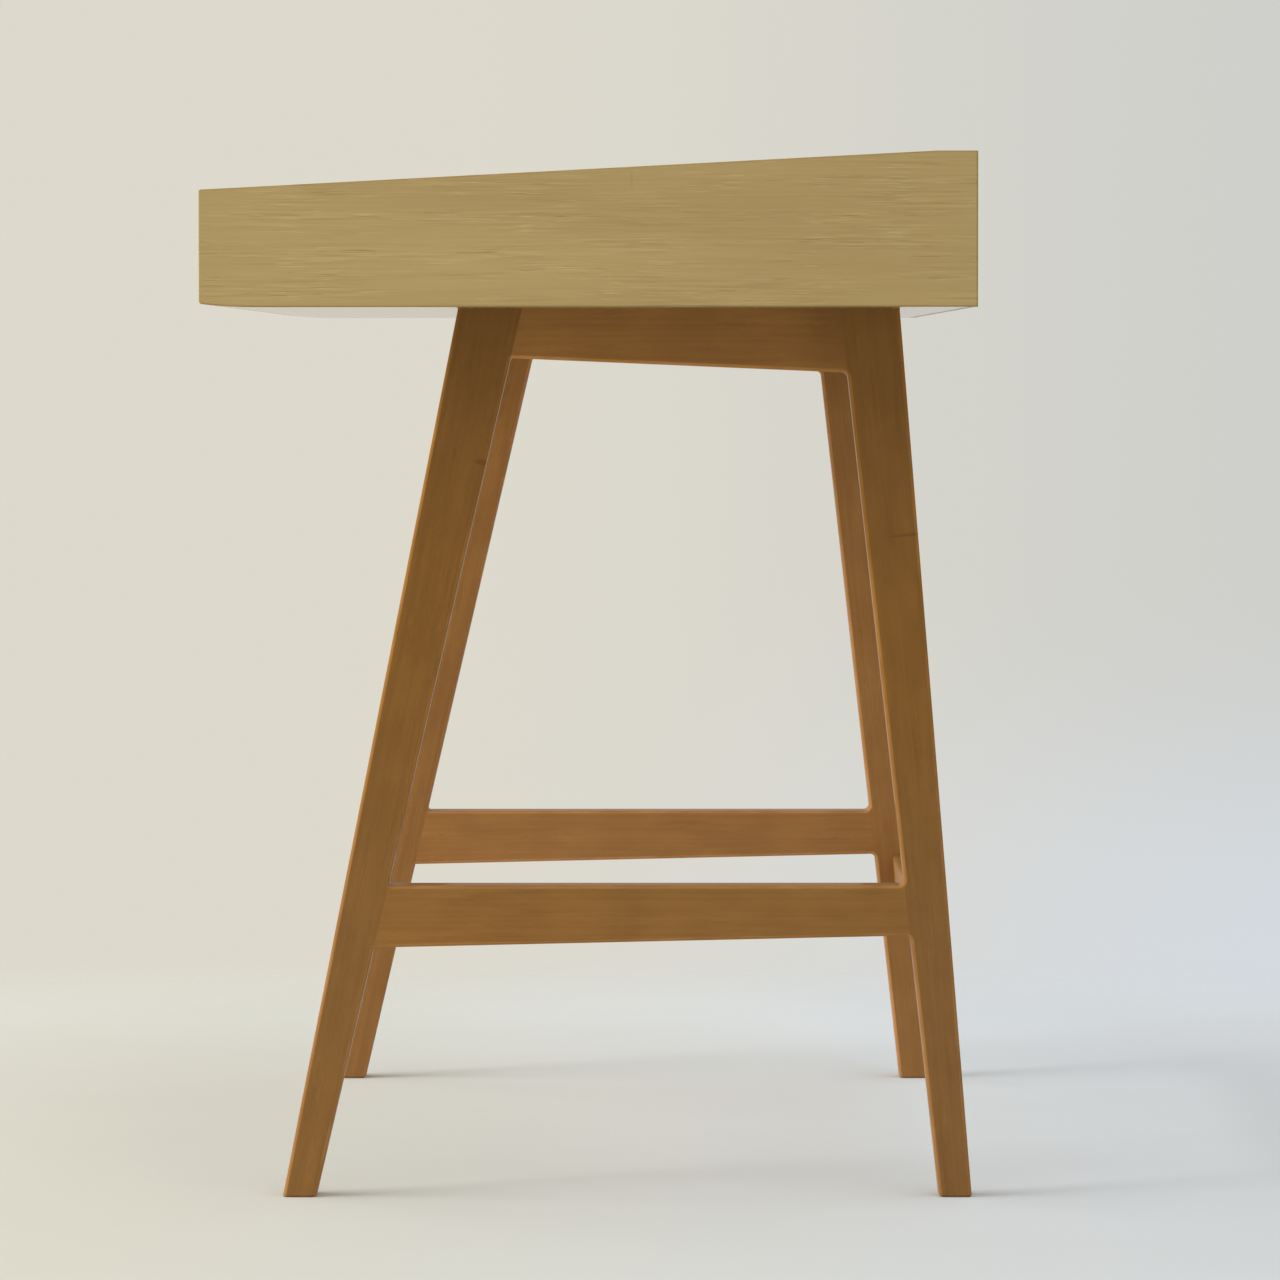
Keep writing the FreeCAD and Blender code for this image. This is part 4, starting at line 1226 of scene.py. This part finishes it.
    def make(self, name: str, seats: list[Seat], turning: Turning,
             finish: Material) -> bpy.types.Object:
        """Make one piece that holds a turned part at every seat.

        Args:
            name: Name of the piece.
            seats: Where the parts sit.
            turning: The part.
            finish: Its material.

        Returns:
            The piece, a plain mesh at the origin.
        """
        profile = add_mesh(name + "_profile", [(radius, 0.0, depth) for radius, depth in turning.outline])
        holder = add_mesh(name + "_seats", [tuple(seat.start) for seat in seats])
        aims = holder.data.attributes.new("aim", "FLOAT_VECTOR", "POINT")
        for index, seat in enumerate(seats):
            aims.data[index].vector = seat.aim
        modifier = holder.modifiers.new("turned", "NODES")
        modifier.node_group = self.tree
        values = {"profile": profile, "segments": turning.segments, "finish": finish, **asdict(turning.cuts)}
        for key, value in values.items():
            modifier[self.keys[key]] = value
        graph = bpy.context.evaluated_depsgraph_get()
        graph.update()
        made = bpy.data.meshes.new_from_object(holder.evaluated_get(graph))
        made.name = name
        for left_over in (holder, profile):
            bpy.data.objects.remove(left_over)
        made.shade_smooth()
        made.set_sharp_from_angle(angle=self.SHARP_ANGLE)
        return add_object(name, made)


class Workshop:
    """Holds what the sub-assemblies share: the materials of small parts by slot, and the lathes."""

    def __init__(self) -> None:
        """Make the shared materials and the lathes."""
        self.materials = {
            "brass": BRASS.material(),
            "steel": STEEL.material(),
            "pad": RUBBER.material(),
            "joint_wood": BEECH.material(Board("pegs", grain=(1, 0, 0), heart=(0.03, 0.68))),
        }
        self.lathes = {drive: Lathe(drive) for drive in Drive}

    def fit(self, slot: str, *nodes: str) -> None:
        """Give nodes of the frame the material of a slot."""
        for node in nodes:
            dress(node, self.materials[slot])

    def turned(self, node: str, aim: Vector, shape: Callable[[Seat], Turning], slot: str,
               body: Body = Body.DESK) -> None:
        """Make turned parts that stand for a node of small ones.

        Args:
            node: The node that they stand for.
            aim: The way that they point.
            shape: Fits a part to its seat.
            slot: The slot of their material.
            body: The body that carries them.
        """
        seats = seats_of(node, aim)
        turning = shape(seats[0])
        piece = self.lathes[turning.drive].make(node + "_turned", seats, turning, self.materials[slot])
        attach(piece, body.value)
        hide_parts(node)
        log.info("%s: %d parts, %d faces", node, len(seats), len(piece.data.polygons))


# Sub-assemblies


@dataclass
class Case:
    """The oak case with its dowels, screws and the pads that the lid rests on."""

    shop: Workshop
    screw: WoodScrew = WoodScrew(1.9 * MILLIMETRE)
    dowel: Dowel = Dowel()
    pad: Pad = Pad()
    side_marks: tuple[Mark, ...] = (
        Mark(place=(0.6, 0.0295, 0.7607), reach=(0.0012, 0.02, 0.009), darkness=0.34),
        Mark(place=(0.6, 0.1785, 0.7264), reach=(0.115, 0.02, 0.0008), darkness=-0.3),
        Mark(place=(0.6, 0.2441, 0.7119), reach=(0.006, 0.02, 0.0012), darkness=0.6),
    )

    def build(self) -> None:
        """Dress the boards and make the small parts."""
        along, across = (1, 0, 0), (0, 1, 0)
        boards = {
            "right_side_panel": Board("right_side", across, heart=(-0.46, 0.66), marks=self.side_marks),
            "left_side_panel": Board("left_side", across, heart=(0.46, 0.80)),
            "front_panel": Board("front", along, heart=(-0.36, 0.78)),
            "back_panel": Board("back", along, heart=(0.36, 0.66)),
            "rear_top_rail": Board("rear_rail", along, heart=(0.19, 0.62)),
            "bottom_panel": Board("bottom", along, heart=(0.03, 0.56)),
        }
        for node, board in boards.items():
            wood = SEALED_OAK if node == "bottom_panel" else OAK
            dress(node, wood.material(board))
            log.info("%s: oak", node)
        self.shop.turned("bottom_screws", UP, self.screw.turning, "brass")
        for node in ("front_panel_dowels", "back_panel_dowels", "rear_rail_dowels"):
            self.shop.turned(node, ALONG, self.dowel.turning, "joint_wood")
        self.shop.turned("lid_bumpers", upper_normal("lid"), self.pad.turning, "pad")


@dataclass
class Lid:
    """The sloping lid."""

    heart: Span = (-0.02, 0.58)

    def build(self) -> None:
        """Dress the lid."""
        dress("lid", OAK.material(Board("lid", grain=(1, 0, 0), heart=self.heart)))
        log.info("lid: oak")


@dataclass(frozen=True)
class FrameLook:
    """How one side frame is dressed: its wood, the shades of its members and its marks."""

    wood: WoodFinish
    front_leg: Span
    rear_leg: Span
    top_rail: Span
    stretcher: Span
    leg_marks: tuple[Mark, ...] = ()
    rail_marks: tuple[Mark, ...] = ()
    leg_drift: Drift | None = None


# Member shades are partly the wood's own tone and partly painted light and shade: the right frame's legs
# darken towards their tops where the case shades them, the rails and stretchers change along their length,
# and the left (far) frame is paler, standing in for the brighter light on it.
FRAME_LOOKS = {
    Side.RIGHT: FrameLook(
        GOLDEN,
        front_leg=(0.98, 0.83),
        rear_leg=(0.9, 0.83),
        top_rail=(1.4, 1.32),
        stretcher=(1.06, 0.98),
        leg_marks=(
            Mark(place=(0.438, 0.2358, 0.4984), reach=(0.0016, 0.02, 0.0045), darkness=0.75),
            Mark(place=(0.438, -0.0843, 0.5532), reach=(0.003, 0.02, 0.0016), darkness=0.7),
            # Two broad pale marks lift the tops of the legs: painted light against the shade under the case.
            Mark(place=(0.438, -0.05, 0.66), reach=(0.06, 0.1, 0.1), darkness=-0.35),
            Mark(place=(0.438, 0.19, 0.66), reach=(0.06, 0.1, 0.1), darkness=-0.4),
        ),
        rail_marks=(Mark(place=(0.438, 0.19, 0.66), reach=(0.05, 0.1, 0.1), darkness=0.45),),
        # Bluer towards the feet and warmer towards the tops: painted light, standing in for the pale floor
        # light that the lower legs reflect.
        leg_drift=Drift(start=(0.97, 0.99, 1.08, 1.0), end=(1.0, 0.955, 0.74, 1.0), span=(0.1, 0.42)),
    ),
    Side.LEFT: FrameLook(
        PINK_GOLDEN,
        front_leg=(1.12, 1.3),
        rear_leg=(1.1, 1.1),
        top_rail=(1.2, 1.1),
        stretcher=(1.35, 1.17),
    ),
}


@dataclass
class SideFrame:
    """One of the two splayed frames that carry the case."""

    shop: Workshop
    side: Side
    bolt: MachineBolt = MachineBolt(shank_radius=3.0 * MILLIMETRE, head_height=6.0 * MILLIMETRE)
    washer: Washer = Washer(bore_radius=3.3 * MILLIMETRE)
    leg_span: Span = (0.05, 0.62)
    rail_span: Span = (-0.2, 0.25)

    def build(self) -> None:
        """Dress the members and make the bolts and washers."""
        prefix, way, look = self.side.prefix, self.side.value, FRAME_LOOKS[self.side]
        across = (0, 1, 0)
        boards = {
            "front_leg": Board("front_leg", long_direction(prefix + "front_leg"), (0.03, -0.36 * way),
                               look.front_leg, self.leg_span, look.leg_marks, look.leg_drift),
            "rear_leg": Board("rear_leg", long_direction(prefix + "rear_leg"), (0.36, -0.44 * way),
                              look.rear_leg, self.leg_span, look.leg_marks, look.leg_drift),
            "top_rail": Board("top_rail", across, (-0.38 * way, 0.60), look.top_rail, self.rail_span,
                              look.rail_marks),
            "side_stretcher": Board("stretcher", across, (-0.45 * way, 0.27), look.stretcher, self.rail_span),
        }
        for name, board in boards.items():
            dress(prefix + name, look.wood.material(replace(board, name=prefix + board.name)))
            log.info("%s%s: golden wood", prefix, name)
        self.shop.fit("joint_wood", prefix + "top_rail_tenons", prefix + "stretcher_tenons")
        self.shop.turned(prefix + "frame_bolts", UP, self.bolt.turning, "steel")
        self.shop.turned(prefix + "frame_washers", UP, self.washer.turning, "steel")
        self.shop.fit("brass", prefix + "frame_inserts")


@dataclass
class CrossRail:
    """The rail that joins the rear legs."""

    shop: Workshop
    heart: Span = (0.24, 0.16)
    shade: Span = (1.12, 1.12)

    def build(self) -> None:
        """Dress the rail and its tenons."""
        dress("rear_cross_rail", GOLDEN.material(Board("cross_rail", (1, 0, 0), self.heart, self.shade)))
        self.shop.fit("joint_wood", "cross_rail_tenons")
        log.info("rear_cross_rail: golden wood")


@dataclass
class KnifeHinge:
    """One of the two hinges let into the ends of the lid."""

    shop: Workshop
    side: Side
    screw: WoodScrew = WoodScrew(1.5 * MILLIMETRE)

    def build(self) -> None:
        """Dress the leaves, pin and washer and make the screws."""
        names = ("hinge_case_leaf", "hinge_lid_leaf", "hinge_pin", "hinge_washer")
        prefix, outward = self.side.prefix, self.side.outward
        self.shop.fit("brass", *(prefix + name for name in names))
        self.shop.turned(prefix + "hinge_case_screws", outward, self.screw.turning, "brass")
        self.shop.turned(prefix + "hinge_lid_screws", -outward, self.screw.turning, "brass", Body.LID)


@dataclass
class LidStay:
    """One of the two curved stays that stop the lid, with its guide."""

    shop: Workshop
    side: Side
    foot_screw: WoodScrew = WoodScrew(1.5 * MILLIMETRE)
    guide_screw: WoodScrew = WoodScrew(1.3 * MILLIMETRE)

    def build(self) -> None:
        """Dress the stay and its guide and make the screws."""
        prefix = self.side.prefix
        self.shop.fit("brass", *(prefix + name for name in ("lid_stay", "stay_stop_pin", "stay_guide")))
        self.shop.turned(prefix + "stay_foot_screws", upper_normal("lid"), self.foot_screw.turning, "brass",
                         Body.LID)
        self.shop.turned(prefix + "stay_guide_screws", self.side.outward, self.guide_screw.turning, "brass")


# Floor, light and camera


@dataclass(frozen=True)
class Glow:
    """A soft part of the sky about one direction, narrower with more focus."""

    direction: Triple
    strength: float
    focus: float


@dataclass(frozen=True)
class Window:
    """A large soft lamp, as a window beside the desk would be."""

    place: Triple
    width: float
    height: float
    power: float


@dataclass
class Studio:
    """A pale floor that fades into the backdrop, soft light and the camera."""

    floor_middle: Span = (1.2, 0.0)
    floor_drop: float = 0.3 * MILLIMETRE
    floor_contact: float = 2.0 * MILLIMETRE
    floor_radius: float = 3.2
    floor_corners: int = 96
    floor_roughness: float = 0.75
    # The floor changes from front to rear: painted light falloff from the windows.
    floor_front: Colour = tone(231, 230, 218)
    floor_rear: Colour = tone(223, 229, 234)
    floor_turn: Span = (-0.5, 0.5)
    rim_span: Span = (2.15, 2.9)
    near_span: Span = (0.1, 0.85)
    near_tint: Colour = (0.965, 0.955, 0.93, 1.0)
    # Lighter under the desk: painted light that lifts the desk's shadow on the floor.
    pale_middle: Triple = (-0.5, 0.08, 0.0)
    pale_reach: Triple = (1.15, 0.5, 1.0)
    pale_span: Span = (0.1, 1.0)
    pale_tint: Colour = (1.12, 1.12, 1.12, 1.0)
    dust: Cloud = Cloud((3.0, 3.0, 3.0), 4.0, result=(0.0, 0.06))
    dust_colour: Colour = tone(200, 196, 186)
    # The backdrop is warmer towards the front, greyer towards the rear and bluer below the horizon: painted
    # light on the backdrop.
    wall_front: Colour = tone(221, 217, 205)
    wall_rear: Colour = tone(206, 207, 203)
    wall_low: Colour = tone(212, 218, 225)
    wall_turn: Span = (-0.04, 0.11)
    wall_drop: Span = (-0.03, -0.09)
    glows: tuple[Glow, ...] = (
        Glow(direction=(0.0, 0.0, 1.0), strength=0.5, focus=1.0),
        Glow(direction=(0.0, 1.0, 0.0), strength=0.55, focus=1.0),
        Glow(direction=(0.86, 0.0, 0.5), strength=0.86, focus=3.0),
    )
    windows: tuple[Window, ...] = (
        Window(place=(2.6, -12.4, 4.05), width=10.0, height=7.2, power=1860.0),
        Window(place=(-7.4, -12.4, 4.05), width=10.0, height=7.2, power=560.0),
    )
    window_aim: Triple = (0.0, 0.0, 0.35)
    camera_place: Triple = (5.4936, 0.0512, 0.62764)
    camera_pitch: float = math.radians(2.3558)
    camera_turn: float = math.radians(0.18575)
    camera_roll: float = math.radians(-0.028)
    camera_lens: float = 189.656
    camera_film: float = 36.0
    camera_reach: float = 100.0

    def build(self) -> None:
        """Set up the whole studio."""
        self.build_floor()
        self.build_sky()
        self.build_windows()
        self.build_camera()
        bpy.context.scene.view_settings.view_transform = "Standard"
        log.info("studio: floor, sky, lamps and camera")

    def floor_colour(self, sheet: NodeSheet, place: Socket) -> Socket:
        """Tint the floor: from front to rear as painted light falloff, darker near the camera, lighter under
        the desk as painted light that lifts the desk's shadow, and with dust.

        Args:
            sheet: Where the nodes go.
            place: Place on the floor.

        Returns:
            The colour of the floor.
        """
        parts = sheet.parts(place)
        colour = sheet.blend(sheet.ease(parts["Y"], self.floor_turn), self.floor_front, self.floor_rear)
        under = sheet.vector("DIVIDE", sheet.vector("SUBTRACT", place, self.pale_middle), self.pale_reach)
        for share, tint in (
            (sheet.ease(parts["X"], self.near_span), self.near_tint),
            (sheet.ease(sheet.vector("LENGTH", under), self.pale_span, FALL), self.pale_tint),
        ):
            colour = sheet.tinted(share, colour, tint)
        return sheet.blend(self.dust.over(sheet, place), colour, self.dust_colour)

    def build_floor(self) -> None:
        """Make a round floor whose rim fades out.

        It doesn't show from below, and doesn't darken the ends of the legs that touch it.
        """
        (x, y), radius = self.floor_middle, self.floor_radius
        turns = [math.tau * index / self.floor_corners for index in range(self.floor_corners)]
        rim = [(x + radius * math.cos(turn), y + radius * math.sin(turn), -self.floor_drop) for turn in turns]
        floor = add_mesh("floor", rim, (tuple(range(self.floor_corners)),))
        material, sheet, shader = new_material("floor")
        place = sheet.add("ShaderNodeTexCoord").outputs["Object"]
        sheet.feed(shader, {"Base Color": self.floor_colour(sheet, place), "Roughness": self.floor_roughness})
        away = sheet.vector("LENGTH", sheet.vector("SUBTRACT", place, (x, y, 0.0)))
        back = sheet.add("ShaderNodeNewGeometry").outputs["Backfacing"]
        length = sheet.add("ShaderNodeLightPath").outputs["Ray Length"]
        seen = sheet.chain(
            "MULTIPLY",
            sheet.ease(away, self.rim_span, FALL),
            sheet.calc("SUBTRACT", 1.0, back),
            sheet.calc("GREATER_THAN", length, self.floor_contact),
        )
        clear = sheet.add("ShaderNodeBsdfTransparent")
        mixed = sheet.add("ShaderNodeMixShader", {0: seen, 1: clear.outputs[0], 2: shader.outputs[0]})
        output = next(node for node in material.node_tree.nodes if node.type == "OUTPUT_MATERIAL")
        sheet.feed(output, {"Surface": mixed.outputs[0]})
        floor.data.materials.append(material)

    def build_sky(self) -> None:
        """Light the desk from all round, and show the backdrop to the eye and in reflections."""
        world = bpy.data.worlds.new("studio")
        world.use_nodes = True
        world.node_tree.nodes.clear()
        sheet = NodeSheet(world.node_tree)
        direction = sheet.add("ShaderNodeTexCoord").outputs["Generated"]
        way = sheet.parts(direction)
        rear = sheet.blend(sheet.ease(way["Z"], self.wall_drop), self.wall_rear, self.wall_low)
        colour = sheet.blend(sheet.ease(way["Y"], self.wall_turn), self.wall_front, rear)
        wall = sheet.add("ShaderNodeBackground", {"Color": colour, "Strength": 1.0})
        total: object = 0.0
        for glow in self.glows:
            facing = sheet.vector("DOT_PRODUCT", direction, tuple(Vector(glow.direction).normalized()))
            lobe = sheet.calc("POWER", sheet.calc("MAXIMUM", facing, 0.0), glow.focus)
            total = sheet.calc("MULTIPLY_ADD", lobe, glow.strength, total)
        sky = sheet.add("ShaderNodeBackground", {"Color": (1.0, 1.0, 1.0, 1.0), "Strength": total})
        ray = sheet.add("ShaderNodeLightPath").outputs
        kinds = (ray[f"Is {kind} Ray"] for kind in ("Camera", "Glossy", "Transmission"))
        direct = sheet.chain("MAXIMUM", *kinds)
        mixed = sheet.add("ShaderNodeMixShader", {0: direct, 1: sky.outputs[0], 2: wall.outputs[0]})
        sheet.add("ShaderNodeOutputWorld", {"Surface": mixed.outputs[0]})
        bpy.context.scene.world = world

    def build_windows(self) -> None:
        """Hang the large soft lamps beyond the desk's front."""
        for index, window in enumerate(self.windows):
            lamp = bpy.data.lights.new(f"window_{index}", "AREA")
            lamp.shape = "RECTANGLE"
            lamp.size = window.width
            lamp.size_y = window.height
            lamp.energy = window.power
            holder = add_object(f"window_{index}", lamp)
            holder.location = window.place
            way = Vector(self.window_aim) - Vector(window.place)
            holder.rotation_euler = way.to_track_quat("-Z", "Y").to_euler()
            holder.visible_glossy = False

    def build_camera(self) -> None:
        """Place the camera where the photograph was taken from."""
        pitch, turn = self.camera_pitch, self.camera_turn
        away = -math.cos(pitch)
        forward = Vector((away * math.cos(turn), away * math.sin(turn), -math.sin(pitch)))
        level = forward.cross(UP).normalized()
        square = level.cross(forward)
        right = level * math.cos(self.camera_roll) + square * math.sin(self.camera_roll)
        up = square * math.cos(self.camera_roll) - level * math.sin(self.camera_roll)
        data = bpy.data.cameras.new("camera")
        data.lens = self.camera_lens
        data.sensor_width = self.camera_film
        data.clip_end = self.camera_reach
        camera = add_object("camera", data)
        turned = Matrix((right, up, -forward)).transposed().to_4x4()
        camera.matrix_world = Matrix.Translation(self.camera_place) @ turned
        bpy.context.scene.camera = camera


def main() -> None:
    """Build the studio and every sub-assembly in order."""
    logging.basicConfig(level=logging.INFO, format="%(message)s", stream=sys.stdout)
    Studio().build()
    shop = Workshop()
    Case(shop).build()
    Lid().build()
    for side in Side:
        SideFrame(shop, side).build()
        KnifeHinge(shop, side).build()
        LidStay(shop, side).build()
    CrossRail(shop).build()


if __name__ == "__main__":
    main()
